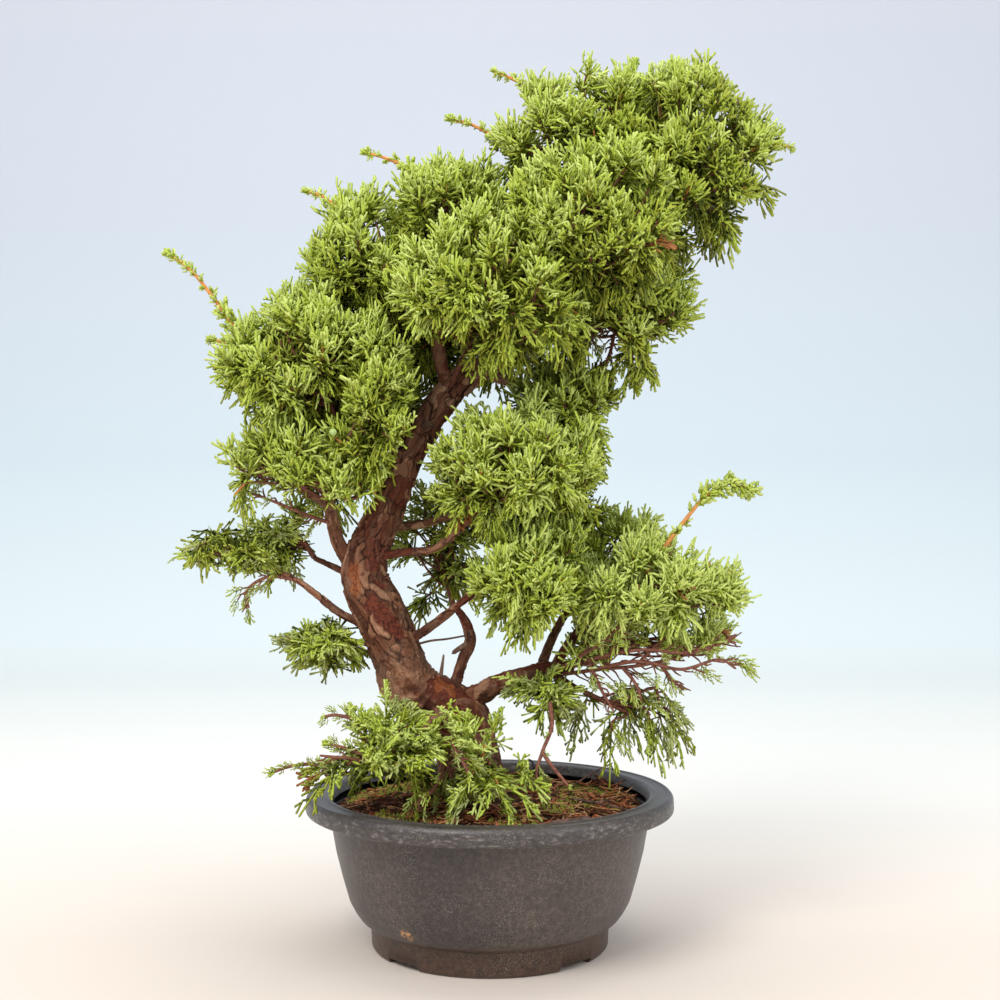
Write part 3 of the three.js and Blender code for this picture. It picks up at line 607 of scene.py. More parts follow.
# Foliage
CORD = 0.8  # radius of a leafy branchlet's three corners
TEMPLATES = 16
MASS_SEED, SHOOT_SEED, TWIG_SEED = 900, 300, 500
CELL_GIVE = 3.0  # masses may lace into each other this far
TUFT_SPACING, TUFT_LENGTH = 27.0, 16.0
DROOP_SPAN = 16.0  # how far along a spray its droop is the full one


def any_angle(rng, *shape):
    return rng.uniform(0, 6.28, *shape)


def any_template(rng):
    return int(rng.integers(TEMPLATES))


def cord(line, radii):
    return tube(line, radii, 3, 0.8)


def sleeve(line, radii):
    """A cord left open at its far end, where another one goes on."""
    vertices, faces = tube(line, radii, 3)
    return vertices[:-1], faces[:-3]


def sliver(start, end, thick):
    """A slim wedge of four faces, whose two end edges lie across each other."""
    way = unit(end - start)
    across = unit(np.cross(way, UP + 0.1))
    near, far = across * thick, np.cross(way, across) * thick
    corners = np.array([start + near, start - near, end + far, end - far])
    return corners, np.array([(0, 1, 2), (0, 3, 1), (0, 2, 3), (1, 3, 2)])


def grow_finger(rng, start, away, length, nubs, spread, thick, inner, outer, hooked):
    """A branchlet that leaves its axis widely, bends forward and carries short nubs."""
    wide, narrow = rng.uniform(*spread), rng.uniform(-0.35, 0.6) * spread[1]
    first = ALONG * math.cos(wide) + away * math.sin(wide)
    last = unit(ALONG * math.cos(narrow) + away * math.sin(narrow) + rng.normal(0, 0.27, 3))
    elbow = start + first * length * 0.36
    end = elbow + last * length * 0.6
    inner.add(*sliver(start, elbow + last * 0.3, thick * 1.1))
    if hooked:
        bend = elbow + (end - elbow) * 0.55
        end = bend + unit(last + rng.normal(0, 0.33, 3)) * length * 0.29
        outer.add(*cord([elbow, bend, end], [thick * 0.85, thick, thick]))
    else:
        outer.add(*cord([elbow, end], [thick * 0.85, thick]))
    for n in range(nubs):
        spot = elbow + (end - elbow) * (rng.uniform(-0.15, 0.25) + 0.75 * n / nubs)
        side = unit(np.cross(last, rng.normal(size=3)))
        way = unit(last + side * rng.uniform(0.6, 1.1))
        outer.add(*sliver(spot, spot + way * rng.uniform(3.4, 6.2) * length / 14, thick))


def spray_template(rng, length, fingers, reach, nubs, spread=(0.75, 1.4), flat=False, thick=CORD):
    """One forked spray that grows along Y: its inner, cord and tip shapes."""
    parts = inner, cords, tips = Heap(), Heap(), Heap()
    sway = rng.uniform(-0.1, 0.1, 2) * length
    axis = np.array([(0, 0, 0), (sway[0] * 0.4, length * 0.5, sway[1] * 0.4), (sway[0], length, sway[1])])
    inner.add(*sleeve(axis[:2], [thick * 0.9, thick * 0.95]))
    tips.add(*cord(axis[1:], [thick * 0.95, thick]))
    spin = any_angle(rng) * (0.06 if flat else 1)
    for n in range(fingers):
        t = 0.02 + 0.76 * (n + rng.uniform(-0.2, 0.2)) / fingers
        start = point_at(axis, axis[:, 1], t * length)
        spin += (np.pi if flat else GOLDEN) + rng.uniform(-0.35, 0.35)
        away = np.array([math.cos(spin), 0.0, math.sin(spin)])
        long = reach * (1.12 - 0.5 * t) * rng.uniform(0.8, 1.15)
        odd = n % 2
        outer = cords if odd else tips
        grow_finger(rng, start, away, long, max(nubs - odd, 1), spread, thick, inner, outer, not odd)
    return [part.whole() for part in parts]


def filler_template(rng):
    """A plain spray for the inside of a mass."""
    parts = inner, cords, buds = Heap(), Heap(), Heap()
    inner.add(*sleeve([(0, 0, 0), (0, 12, 0)], [CORD, CORD]))
    for n in range(7):
        spin = GOLDEN * n + rng.uniform(0, 1)
        way = unit(np.array([math.cos(spin), rng.uniform(0.5, 1.4), math.sin(spin)]))
        start = ALONG * 1.7 * n
        (cords if n < 4 else buds).add(*sliver(start, start + way * rng.uniform(8, 13), CORD * 1.1))
    return [part.whole() for part in parts]


shape_rng = np.random.default_rng(7)
SPRAY_KINDS = {kind: [grow(shape_rng, *settings) for _ in range(TEMPLATES)] for kind, grow, *settings in (
    ("full", spray_template, 13.5, 6, 14, 2),
    ("open", spray_template, 20, 6, 13, 2, (0.6, 1.05), True),
    ("broad", spray_template, 30, 8, 14.5, 3, (0.55, 1.0), True, CORD * 1.08),
    ("hang", spray_template, 28, 7, 12, 3, (0.5, 0.9), True, CORD * 0.88),
    ("filler", filler_template),
    ("bud", spray_template, 6.5, 5, 5.4, 1),
)}

# Each leaf kind is the tones of a spray's inner, cord and tip shapes. The kinds from sunny to shade are
# painted light and shade, picked by how much light a spray gets, and in most kinds the inner shapes are
# darker, as painted shade inside the spray
LEAF_KINDS = {
    "sunny": ("fresh", "tip", "tip"), "bright": ("mid", "fresh", "tip"), "fresh": ("deep", "fresh", "tip"),
    "mid": ("shade", "mid", "fresh"), "deep": ("shade", "deep", "mid"), "shade": ("shade", "shade", "deep"),
    "grey": ("mid", "grey", "grey"), "dead": ("rust", "rust", "rust"),
}
LEAF_TONES = {
    "tip": ((186, 203, 94), (209, 222, 126)), "fresh": ((164, 183, 58), (190, 206, 84)),
    "mid": ((148, 160, 42), (176, 187, 64)), "deep": ((118, 127, 28), (147, 154, 46)),
    "shade": ((80, 94, 18), (106, 119, 30)), "grey": ((156, 166, 92), (186, 193, 122)),
    "rust": ((132, 78, 38), (178, 116, 60)),
}
leaves = {tone: speckled(f"leaf_{tone}", 0.44, 170, *shades, specular=0.4)
          for tone, shades in LEAF_TONES.items()}
twig_bark = speckled("twig_bark", 0.75, 500, (96, 50, 40), (150, 96, 76), bumps=0.4)
shoot_bark = speckled("shoot_bark", 0.55, 260, (196, 116, 52), (226, 160, 84))

LIMB_STEP = 3.0  # along a limb where only its place matters
limb_places = np.vstack([walk(path, LIMB_STEP)[0] for path in [TRUNK, *BOUGHS.values()]])

# The camera's own geometry, for keeping open what the photograph shows open
EYE = np.array([6.8, -1024.0, 302.0])
FOCAL, MIDDLE = 1500.0, 500  # in pixels
BARE_FROM, BARE_TO = 186, 372  # heights between which the bare trunk shows


def region_of(name):
    return {"crown": "crown", "left": "left", "under": "left", "base": "low"}.get(name.split("_")[0], "right")


def clear_of_limbs(points, room):
    """Which of the points lie at least this far from every limb's bark."""
    gap = np.linalg.norm(points[:, None] - limb_places[None, :, :3], axis=2) - limb_places[None, :, 3]
    return gap.min(axis=1) > room


def seen_at(points):
    """Where the points are in the picture."""
    away = points - EYE
    return MIDDLE + FOCAL * away[:, [0, 2]] * [1, -1] / away[:, 1:2]


bare_trunk = walk(TRUNK, LIMB_STEP)[0]
bare_trunk = bare_trunk[(bare_trunk[:, 2] > BARE_FROM) & (bare_trunk[:, 2] < BARE_TO)]
bare_trunk_seen = seen_at(bare_trunk[:, :3])
bare_trunk_width = bare_trunk[:, 3] * FOCAL / (bare_trunk[:, 1] - EYE[1])


def keeps_open(points):
    """Which points hide neither an opening nor the bare stretch of trunk."""
    seen = seen_at(points)[:, None]
    outside = (((seen - OPENINGS[:, :2]) / OPENINGS[:, 2:]) ** 2).sum(axis=2).min(axis=1) > 1
    far = (np.linalg.norm(seen - bare_trunk_seen, axis=2) - bare_trunk_width).min(axis=1)
    return outside & ~((points[:, 1] < 0) & (far < 1.5))


def cell_planes(name):
    """The planes that part a mass from its neighbours: direction and distance from its centre."""
    centre, reach = np.array(MASSES[name].centre, float), np.array(MASSES[name].reach, float)
    planes = []
    for there in (mass for other, mass in MASSES.items() if other != name):
        way = np.array(there.centre) - centre
        far = np.linalg.norm(way)
        way = way / far
        mine, theirs = np.linalg.norm(reach * way), np.linalg.norm(np.array(there.reach) * way)
        planes.append((way, far * mine / (mine + theirs) + CELL_GIVE))
    return planes


def sphere_spread(count, phase):
    """Unit directions spread evenly by the golden angle."""
    n = np.arange(count) + 0.5
    z = 1 - 2 * n / count
    around, flat = GOLDEN * n + phase, np.sqrt(1 - z * z)
    return np.stack([flat * np.cos(around), flat * np.sin(around), z], axis=1)


sprays, twigs, stems = {}, {}, Heap()


def add_spray(region, leaf, kind, pick, base, way, face, size, droop):
    """Keep where a spray goes, by region, leaf kind and template."""
    sprays.setdefault((region, leaf, kind, pick), []).append(np.concatenate([base, way, face, droop, [size]]))


def spray_heaps():
    """Heaps of the placed sprays by region and leaf tone."""
    made = {}
    for (region, leaf, kind, pick), rows in sprays.items():
        base, way, face, droop, size = np.split(np.array(rows)[:, None], [3, 6, 9, 12], axis=2)
        way = unit(way)
        across = unit(np.cross(way, face))
        turn = np.concatenate([across, way, np.cross(across, way)], axis=1)
        for (vertices, faces), tone in zip(SPRAY_KINDS[kind][pick], LEAF_KINDS[leaf]):
            bend = (vertices[:, 1:2] / DROOP_SPAN).clip(0) ** 2
            placed = np.einsum("vk,nkj->nvj", vertices, turn) * size + base + droop * bend
            made.setdefault((region, tone), Heap()).add_copies(placed, faces)
    return made


def leaf_kind(rng, light):
    """The leaf kind for a painted light level of about 0 to 1: more light, a lighter kind."""
    light += rng.normal(0, 0.08)
    for kind, least in (("sunny", 1.14), ("bright", 0.78), ("fresh", 0.54), ("mid", 0.32), ("deep", 0.1)):
        if light > least:
            return kind
    return "shade"


class Habit(NamedTuple):
    """How densely a mass is filled, how its tufts rise and what part of its sprays is grey."""
    density: float
    rise: float
    grey: float


HABITS = {"tuft": Habit(1.3, 0.6, 0), "fan": Habit(1.0, 0.1, 0.2), "broad": Habit(0.75, 0.2, 0.12),
          "hang": Habit(0.25, -1.5, 0.6)}


def tuft_spots(rng, name, centre, reach, count):
    """Where a mass has its tufts: tip, direction outwards, depth and whether it is an inner one."""
    planes, spots = cell_planes(name), []
    for turn, way in enumerate(sphere_spread(count, any_angle(rng))):
        way = unit(way + rng.normal(0, 0.14, 3))
        inside = turn % 4 == 3
        depth = rng.uniform(0.5, 0.7) if inside else rng.uniform(0.86, 1.0)
        tip = reach * way * depth
        inward = [max(distance / (tip @ side), 0) for side, distance in planes if tip @ side > distance]
        keep = min([1.0, *inward])
        if keep < 0.45 or (keep < 0.85 and rng.random() < 0.35):
            continue
        out = unit(way / reach)
        if out[2] < -0.3 and rng.random() < 0.3:
            continue
        spots.append((centre + tip * keep, out, depth * keep, inside))
    for tip in MORE_TUFTS.get(name, ()):
        spots.append((np.array(tip, float), unit((tip - centre) / reach), 1.0, False))
    return spots


def grow_mass(order, name, mass):
    rng = np.random.default_rng(MASS_SEED + order)
    centre, reach, start = (np.array(values, float) for values in mass[:3])
    region, habit = region_of(name), mass.habit
    area = 4 * np.pi * np.mean(reach * np.roll(reach, 1))
    count = int(area / TUFT_SPACING**2 * HABITS[habit].density * mass.density)
    heart = centre + (centre - start) * 0.2
    middle = (start + heart) / 2 + rng.normal(0, 2.5, 3)
    stem = catmull_rom([(*start, 2.0), (*middle, 1.7), (*heart, 1.1)], 8)
    heap = twigs.setdefault(region, Heap())
    heap.add(*tube(stem[:, :3], stem[:, 3], 6))
    for tip, out, depth, inside in tuft_spots(rng, name, centre, reach, count):
        thin = out[2] < -0.1 and rng.random() < mass.bare
        lift = HABITS[habit].rise if out[2] > -0.3 or habit != "tuft" else -0.15
        loose = 0.35 if habit == "hang" else 0.14
        axis = unit(out + UP * lift * rng.uniform(0.6, 1.3) + rng.normal(0, loose, 3))
        last = tip - axis * TUFT_LENGTH
        root = stem[int(rng.uniform(0.3, 0.95) * (len(stem) - 1)), :3]
        length = np.linalg.norm(last - root)
        bow = rng.normal(0, length * 0.05, 3) - UP * length * rng.uniform(0.0, 0.12)
        knee = last - axis * min(8.0, length * 0.3)
        bend = (root + knee) / 2 + bow
        twig = catmull_rom([(*root, 1.1), (*bend, 0.95), (*knee, 0.85), (*last, 0.75)], 3)
        line = twig[:, :3]
        outer_half = line[len(line) // 2:]
        if not (clear_of_limbs(outer_half, 1.5) & keeps_open(outer_half)).all():
            continue
        heap.add(*tube(line, twig[:, 3] * (1.35 if thin else 1.0), 3))
        # Painted light: sprays that face up and out and sit at the outside of a lighter mass get lighter leaf
        # tones, deeper and lower ones darker
        light = 0.46 + 0.3 * out[2] - 0.06 * out[1] + 0.5 * (depth - 0.85) + mass.fresh + rng.normal(0, 0.12)
        grow_tuft(rng, region, mass, last, axis, out, light, inside, thin)
        if not inside and rng.random() < (0.45 if region == "low" else 0.14) and habit != "hang":
            stems.add(*tube([last - axis * 8, last - axis * 2, last + axis * 3], [1.0, 0.9, 0.5], 4))


def grow_tuft(rng, region, mass, end, axis, out, light, inside, thin):
    """Sprays that open from the end of a twig, with plain ones behind them."""
    habit = mass.habit
    side = unit(np.cross(axis, UP + rng.normal(0, 0.05, 3)))
    other = np.cross(axis, side)
    phase = any_angle(rng)
    hanging, long = out[2] < -0.3 or habit == "hang", habit in ("hang", "broad")
    kind = habit if long else "open" if hanging or habit == "fan" else "full"
    outer = 0 if inside else 1 if thin else 3 if long else 5
    for n in range(outer + (0 if thin else 1 if habit == "hang" else 6 if inside else 3)):
        behind = n >= outer
        spin = phase + GOLDEN * n
        radial = side * math.cos(spin) + other * math.sin(spin) * (1.0 if habit == "tuft" else 0.5)
        if n == 0 and not behind:
            base, go = end - axis * 1.5, axis
        elif behind:
            base = end - axis * rng.uniform(6, 17)
            go = unit(axis * rng.uniform(0.1, 0.6) + radial)
        else:
            base = end - axis * (1.0 + 2.4 * n)
            go = unit(axis * rng.uniform(0.45, 0.95) + radial * 0.95)
        rise = -0.25 if hanging else 0.3 if habit == "tuft" else 0.05
        go = unit(go + UP * rise * rng.uniform(0.3, 1.2))
        size = rng.uniform(0.85, 1.15)
        reached = base + go * 15 * size
        if not clear_of_limbs(np.array([base + go * 8, reached]), 1.2).all():
            continue
        if not keeps_open(np.array([base + go * 9, reached])).all():
            continue
        face = unit(UP * 0.7 + out * 0.5 + rng.normal(0, 0.5 if habit == "tuft" else 0.25, 3))
        if abs(face @ go) > 0.97:
            continue
        # Painted shade: the plain sprays behind, inside the tuft, get darker tones
        leaf = leaf_kind(rng, light - (0.3 if behind else 0.0))
        if rng.random() < mass.dead:
            leaf = "dead"
        elif habit != "tuft" and rng.random() < HABITS[habit].grey:
            leaf = "grey"
        droop = UP * (3.6 if rise > 0.1 else -3.4) * rng.uniform(0.2, 1.3)
        pick = any_template(rng)
        add_spray(region, leaf, "filler" if behind else kind, pick, base, go, face, size, droop)


# Each style's stretches: up to which part of the shoot, then the sprays' step, size and lean
SHOOT_STYLES = {
    "scaly": [(0.35, 3.4, 1.5, 0.85), (0.62, 5.5, 1.0, 0.75), (1.0, 2.2, 0.85, 0.5)],
    "leader": [(0.12, 3.4, 1.5, 0.85), (0.5, 8.0, 1.2, 0.7), (1.0, 2.2, 1.5, 0.7)],
    "fan": [(0.4, 4.5, 0.62, 0.9), (1.0, 5.0, 0.5, 0.75)],
    "tassel": [(0.4, 24.0, 0.35, 0.9), (1.0, 4.5, 0.8, 0.8)],
}


def grow_shoot(order, style, path):
    """A leading shoot: side sprays near its foot, a barer stretch, then a leafy end."""
    rng = np.random.default_rng(SHOOT_SEED + order)
    rows = tapering(path, 1.5, 0.65, 10)
    line = rows[:, :3]
    flat = style in ("fan", "tassel")
    (twigs.setdefault("left", Heap()) if flat else stems).add(*tube(line[:-4], rows[:-4, 3], 6))
    length = lengths_along(line)
    total = length[-1]
    spin = any_angle(rng)
    place = total * 0.05
    while place < total - 4:
        t = place / total
        base = point_at(line, length, place)
        way = unit(point_at(line, length, place + 2) - base)
        side = unit(np.cross(way, UP))
        step, size, lean = next(stretch[1:] for stretch in SHOOT_STYLES[style] if t <= stretch[0])
        size *= rng.uniform(0.8, 1.15) * (1.15 - 0.3 * t)
        spin += np.pi + rng.uniform(-0.4, 0.4) if flat else GOLDEN
        radial = side * math.cos(spin) + np.cross(way, side) * math.sin(spin)
        go = unit(way + radial * lean * rng.uniform(0.8, 1.2))
        face = unit((side if flat else UP) + rng.normal(0, 0.4, 3))
        leaf = "bright" if t > 0.5 or rng.random() < 0.4 else "fresh"
        if flat:
            leaf = "grey" if rng.random() < 0.4 else "mid" if rng.random() < 0.6 else "fresh"
        pick = any_template(rng)
        add_spray("shoots", leaf, "open" if flat else "bud", pick, base, go, face, size, UP * 0.6)
        place += step * rng.uniform(0.8, 1.2)
    way = unit(line[-1] - line[-5])
    base = line[-5] - way
    size = np.linalg.norm(line[-1] - base) / 7.0
    add_spray("shoots", "bright", "bud", 0, base, way, unit(UP + rng.normal(0, 0.2, 3)), size, UP * 0.0)


def grow_twig(order, points, reach):
    """A twig with crooked twiglets to all sides."""
    rng = np.random.default_rng(TWIG_SEED + order)
    rows = tapering(points, 1.5, 0.7, 8)
    line = rows[:, :3]
    heap = twigs.setdefault("right" if points[0][0] > 0 else "left", Heap())
    heap.add(*tube(line, rows[:, 3], 5))
    for n in range(2, len(rows) - 1, 2):
        way = unit(line[n + 1] - line[n])
        side = unit(np.cross(way, rng.normal(size=3) * [0.5, 1, 0.5]))
        first = line[n] + unit(way * 0.8 + side) * reach * rng.uniform(0.3, 0.6)
        second = first + unit(way + side * 0.5 + rng.normal(0, 0.4, 3)) * reach * rng.uniform(0.3, 0.6)
        heap.add(*tube([line[n], first, second], [0.85, 0.7, 0.5], 3))
        if rng.random() < 0.45:
            go = unit(second - first)
            leaf = "fresh" if rng.random() < 0.6 else "grey"
            add_spray("shoots", leaf, "open", any_template(rng), second - go, go,
                      unit(np.cross(go, UP + rng.normal(0, 0.3, 3))), rng.uniform(0.45, 0.7), UP * -1.0)


region_nodes = {"shoots": ["left_top", "crown_top", "right_low", "base_left"]}
for order, (name, mass) in enumerate(MASSES.items()):
    grow_mass(order, name, mass)
    region_nodes.setdefault(region_of(name), []).append(name)
for order, (style, *path) in enumerate(SHOOTS):
    grow_shoot(order, style, path)
for order, (reach, *points) in enumerate(TWIG_LINES):
    grow_twig(order, points, reach)

for (region, tone), heap in sorted(spray_heaps().items()):
    dress(heap.make(f"{region}_leaf_{tone}", leaves[tone]), "foliage", *region_nodes[region])
for region, heap in twigs.items():
    dress(heap.make(f"{region}_twigs", twig_bark), "bark", *region_nodes[region])
dress(stems.make("shoot_stems", shoot_bark), "bark", *MASSES)

# Pot
RIM_TOP = 104.0
POT_PROFILE = [  # radius and height, from the underside's middle up the side and over the lip
    (0.2, 0.2), (14, 0.2), (15.5, 4), (70, 4), (71.5, 0), (78.5, 0), (80.2, 2), (81, 17), (84, 18), (88, 21),
    (92, 26.5), (95.5, 33), (100.4, 50), (104.4, 66), (106.9, 80), (108.4, 91.6), (112, 92), (123.5, 92),
    (125, 93.5), (124.6, 101.5), (122.6, RIM_TOP), (120.8, RIM_TOP), (120.2, 103.2), (113.2, 103.2),
    (112.4, RIM_TOP), (110, RIM_TOP), (108.4, 102.4), (106.6, 97.5),
]
POT_SEGMENTS = 240
NOTCHES, NOTCH_HALF, NOTCH_HEIGHT = 4, 0.18, 3.6  # of the foot ring; half a notch is an angle
STAIN = np.array([-52.6, -76.0, 26.0])  # a tan stain low on the front
STAIN_SCALE = 170.0  # one over the stain's radius in metres


def rounded_profile(points, cut):
    """The profile with each corner cut back twice, by at most this many millimetres."""
    points = np.asarray(points, float)
    for size in (cut, cut * 0.35):
        rows = [points[0]]
        for before, here, after in zip(points, points[1:], points[2:]):
            for other in (before, after):
                way = other - here
                far = np.linalg.norm(way)
                rows.append(here + way / far * min(size, far * 0.3))
        points = np.vstack([rows, points[-1]])
    return points


def make_pot():
    profile = rounded_profile(POT_PROFILE, 0.7)
    middles = np.pi / 4 + ring_angles(NOTCHES)
    edges = np.concatenate([middles + s * (NOTCH_HALF + e) for s in (-1, 1) for e in (-0.004, 0.004)])
    angle = np.unique(np.concatenate([ring_angles(POT_SEGMENTS), edges % FULL_TURN]))
    radius, height = profile[:, :1], profile[:, 1:]
    x, y, z = radius * np.cos(angle), radius * np.sin(angle), np.repeat(height, len(angle), axis=1)
    from_notch = np.abs((angle[None] - middles[:, None] + np.pi) % FULL_TURN - np.pi).min(axis=0)
    z = np.where((from_notch < NOTCH_HALF) & (radius > 69) & (radius < 82), np.maximum(z, NOTCH_HEIGHT), z)
    wobble = 1 + 0.004 * (noise(np.stack([x, y, z], axis=2) / 60, 5) - 0.5)
    return grid(x * wobble, y * wobble, z), grid_faces(len(profile), len(angle))


def pot_material():
    """Dusty black plastic with pale flecks: browner at the foot, scuffed grey on the side of the rim."""
    made, tree = new_material("pot_plastic", 0.45, 0.62)
    dust, grime, height = noise_node(tree, 26, 5), noise_node(tree, 330, 5), height_node(tree, RIM_TOP * MM)
    dark = ramp(tree, grime, (0.3, 36, 31, 31), (0.5, 49, 42, 41), (0.7, 68, 59, 56))
    dusty = ramp(tree, grime, (0.3, 52, 45, 42), (0.5, 68, 59, 55), (0.7, 88, 77, 71))
    colour = blend(tree, ramp(tree, noise_node(tree, 11, 3), (0.4, 0), (0.62, 1)), dark, dusty)
    foot = ramp(tree, grime, (0.3, 42, 26, 17), (0.7, 76, 50, 34))
    colour = blend(tree, ramp(tree, height, (0.15, 1), (0.24, 0)), colour, foot)
    scuffs = noise_node(tree, 210, 6, (1, 1, 2.4))
    rim = ramp(tree, scuffs, (0.34, 42, 38, 38), (0.55, 66, 60, 59), (0.72, 122, 115, 113))
    colour = blend(tree, ramp(tree, height, (0.86, 0), (0.9, 1), (0.97, 1), (0.99, 0.15)), colour, rim)
    pale = ramp(tree, noise_node(tree, 70, 4), (0.3, 120, 110, 102), (0.8, 170, 160, 150))
    flecks = ramp(tree, noise_node(tree, 1500, 2), (0.56, 0), (0.7, 0.8))
    colour = blend(tree, multiply(tree, flecks, ramp(tree, dust, (0.42, 0.35), (0.62, 1))), colour, pale)
    near = mapped(tree, Location=STAIN * -STAIN_SCALE * MM, Scale=(STAIN_SCALE,) * 3)
    disc = add_node(tree, "ShaderNodeTexGradient", Vector=near, gradient_type="SPHERICAL").outputs["Fac"]
    patchy = ramp(tree, noise_node(tree, 480, 4), (0.44, 0), (0.56, 1))
    tan = ramp(tree, grime, (0.3, 176, 120, 76), (0.7, 206, 158, 112))
    colour = blend(tree, multiply(tree, ramp(tree, disc, (0.0, 0), (0.4, 1)), patchy), colour, tan)
    paint(tree, colour, grime, 0.15)
    rough = ramp(tree, dust, (0.3, 0.38), (0.7, 0.48))
    tree.links.new(rough, tree.nodes["Principled BSDF"].inputs["Roughness"])
    return made


dress(make_mesh("pot_shell", *make_pot(), pot_material()), "pot", "pot")

# Soil with moss and fallen leaves
soil_rng = np.random.default_rng(61)
MOSS = [(70, 34, 30), (66, -2, 24), (44, -32, 20), (96, -20, 14), (-60, -60, 30), (-70, 40, 34), (20, 78, 26),
        (14, -74, 20), (-30, -86, 16)]
GRAIN = np.array([(1, 0, 0), (-1, 0, 0), (0, 1, 0), (0, -1, 0), (0, 0, 1), (0, 0, -1.0)])
GRAIN_FACES = np.array([(0, 2, 4), (2, 1, 4), (1, 3, 4), (3, 0, 4), (2, 0, 5), (1, 2, 5), (3, 1, 5),
                        (0, 3, 5)])


def flat_noise(x, y, size, seed):
    return noise(np.stack([x, y, x * 0], axis=-1) / size, seed) - 0.5


def soil_height(x, y):
    """The soil's height: nearly flat, lower at the pot's wall, mounded a little at the trunk."""
    fall = np.interp(np.hypot(x, y), [0, 58, 80, SOIL_EDGE], [SOIL_TOP, SOIL_TOP, SOIL_TOP - 1, SOIL_TOP - 4])
    mound = 4.0 * np.exp(-(((x + 11) ** 2 + (y - 20) ** 2) / 38.0**2))
    return fall + mound + 2.2 * flat_noise(x, y, 17, 8) + 1.4 * flat_noise(x, y, 5, 9)


def mossiness(x, y):
    total, ragged = x * 0, 0.9 * flat_noise(x, y, 8, 15)
    for mx, my, radius in MOSS:
        total = np.maximum(total, 1 - smoothstep(0.6, 1.0, np.hypot(x - mx, y - my) / radius + ragged))
    return total


def make_soil():
    rings, sides = 110, 300
    radius = np.linspace(0.4, SOIL_EDGE - 0.4, rings)[:, None]
    x, y = radius * np.cos(ring_angles(sides)), radius * np.sin(ring_angles(sides))
    z = soil_height(x, y) + 1.1 * flat_noise(x, y, 2.4, 21)
    return grid(x, y, z), grid_faces(rings, sides)[:, TURNED_OVER]


def soil_material():
    made, tree = new_material("soil_surface", 0.95, 0.2)
    grains = noise_node(tree, 330, 5)
    earth = ramp(tree, grains, (0.3, 40, 26, 18), (0.55, 84, 54, 36), (0.75, 126, 86, 58))
    green = ramp(tree, grains, (0.3, 62, 68, 26), (0.7, 122, 126, 54))
    paint(tree, blend(tree, attribute(tree, "moss"), earth, green), grains, 0.8, 0.001)
    return made


def soil_spots(count, low=22.0, high=SOIL_EDGE - 3):
    """Random places on the soil between two radii."""
    far = np.sqrt(soil_rng.uniform(low**2, high**2, count))
    angle = soil_rng.uniform(0, FULL_TURN, count)
    return far * np.cos(angle), far * np.sin(angle)


def turned(shape, spin):
    """The places turned about Z."""
    c, s, x, y = np.cos(spin), np.sin(spin), shape[..., 0], shape[..., 1]
    return np.stack([x * c - y * s, x * s + y * c, shape[..., 2]], axis=-1)


def scatter(count, size, squash, lift=0.3, low=22.0, only_moss=False):
    """Small eight-faced grains on the soil."""
    x, y = soil_spots(count, low)
    if only_moss:
        kept = mossiness(x, y) > 0.4
        x, y = x[kept], y[kept]
    n = len(x)
    shape = GRAIN + soil_rng.uniform(-0.3, 0.3, (n, 6, 3))
    shape = shape * soil_rng.uniform(size * 0.5, size, (n, 1, 1)) * [1, 1, squash]
    places = np.stack([x, y, soil_height(x, y) + size * squash * lift], axis=1)
    heap = Heap()
    heap.add_copies(turned(shape, any_angle(soil_rng, n)[:, None]) + places[:, None], GRAIN_FACES)
    return heap


def lay_sprigs(count, heap):
    """Dead leafy tips lying on the soil."""
    for place in zip(*soil_spots(count, 30.0, SOIL_EDGE - 9)):
        vertices, faces = SPRAY_KINDS["bud"][any_template(soil_rng)][int(soil_rng.integers(3))]
        spin = any_angle(soil_rng)
        laid = turned(vertices * [0.8, 1, 0.35] * soil_rng.uniform(0.9, 1.9), spin) + [*place, 0]
        laid[:, 2] += soil_height(laid[:, 0], laid[:, 1]) + 1.2
        heap.add(laid, faces)


def lay_needles(count, heap):
    """Thin fallen needles and twiglets, most of them at the front and right of the pot."""
    for px, py in zip(*soil_spots(count, 26.0, SOIL_EDGE - 6)):
        if px - py < -30 and soil_rng.random() < 0.5:
            continue
        spin = soil_rng.uniform(0, np.pi)
        half = soil_rng.uniform(3.5, 9.5)
        way = np.array([math.cos(spin), math.sin(spin), 0.0])
        bend = np.array([-way[1], way[0], 0.0]) * soil_rng.uniform(-1.4, 1.4)
        line = np.array([way * -half, bend, way * half]) + [px, py, 0.0]
        if np.hypot(line[:, 0], line[:, 1]).max() >= SOIL_EDGE - 1.5:
            continue
        heaped = 2.0 + 6.0 * smoothstep(48, 92, px) * smoothstep(-70, -20, py)
        lifts = 1.2 + soil_rng.uniform(0, heaped) * np.array([soil_rng.uniform(0, 1.6), 0.6, 1.0])
        line[:, 2] = soil_height(line[:, 0], line[:, 1]) + lifts
        thick = soil_rng.uniform(0.45, 0.8)
        heap.add(*tube(line, [thick * 0.7, thick, thick * 0.7], 3))


def add_sticks(heap, *sticks):
    """Crooked sticks, each given by its radius, its count of sides and its line."""
    for radius, sides, *points in sticks:
        rows = tapering(points, radius, 0.3 * radius, 6)
        start = rows[0, :3] - unit(rows[1, :3] - rows[0, :3]) * radius
        heap.add(*tube(np.vstack([start, rows[:, :3]]), np.concatenate([[0.05], rows[:, 3]]), sides))
    return heap


soil_vertices, soil_faces = make_soil()
soil_layers = {"moss": mossiness(soil_vertices[:, 0], soil_vertices[:, 1])}
soil_surface = make_mesh("soil_surface", soil_vertices, soil_faces, soil_material(), True, soil_layers)
dress(soil_surface, "soil", "soil")

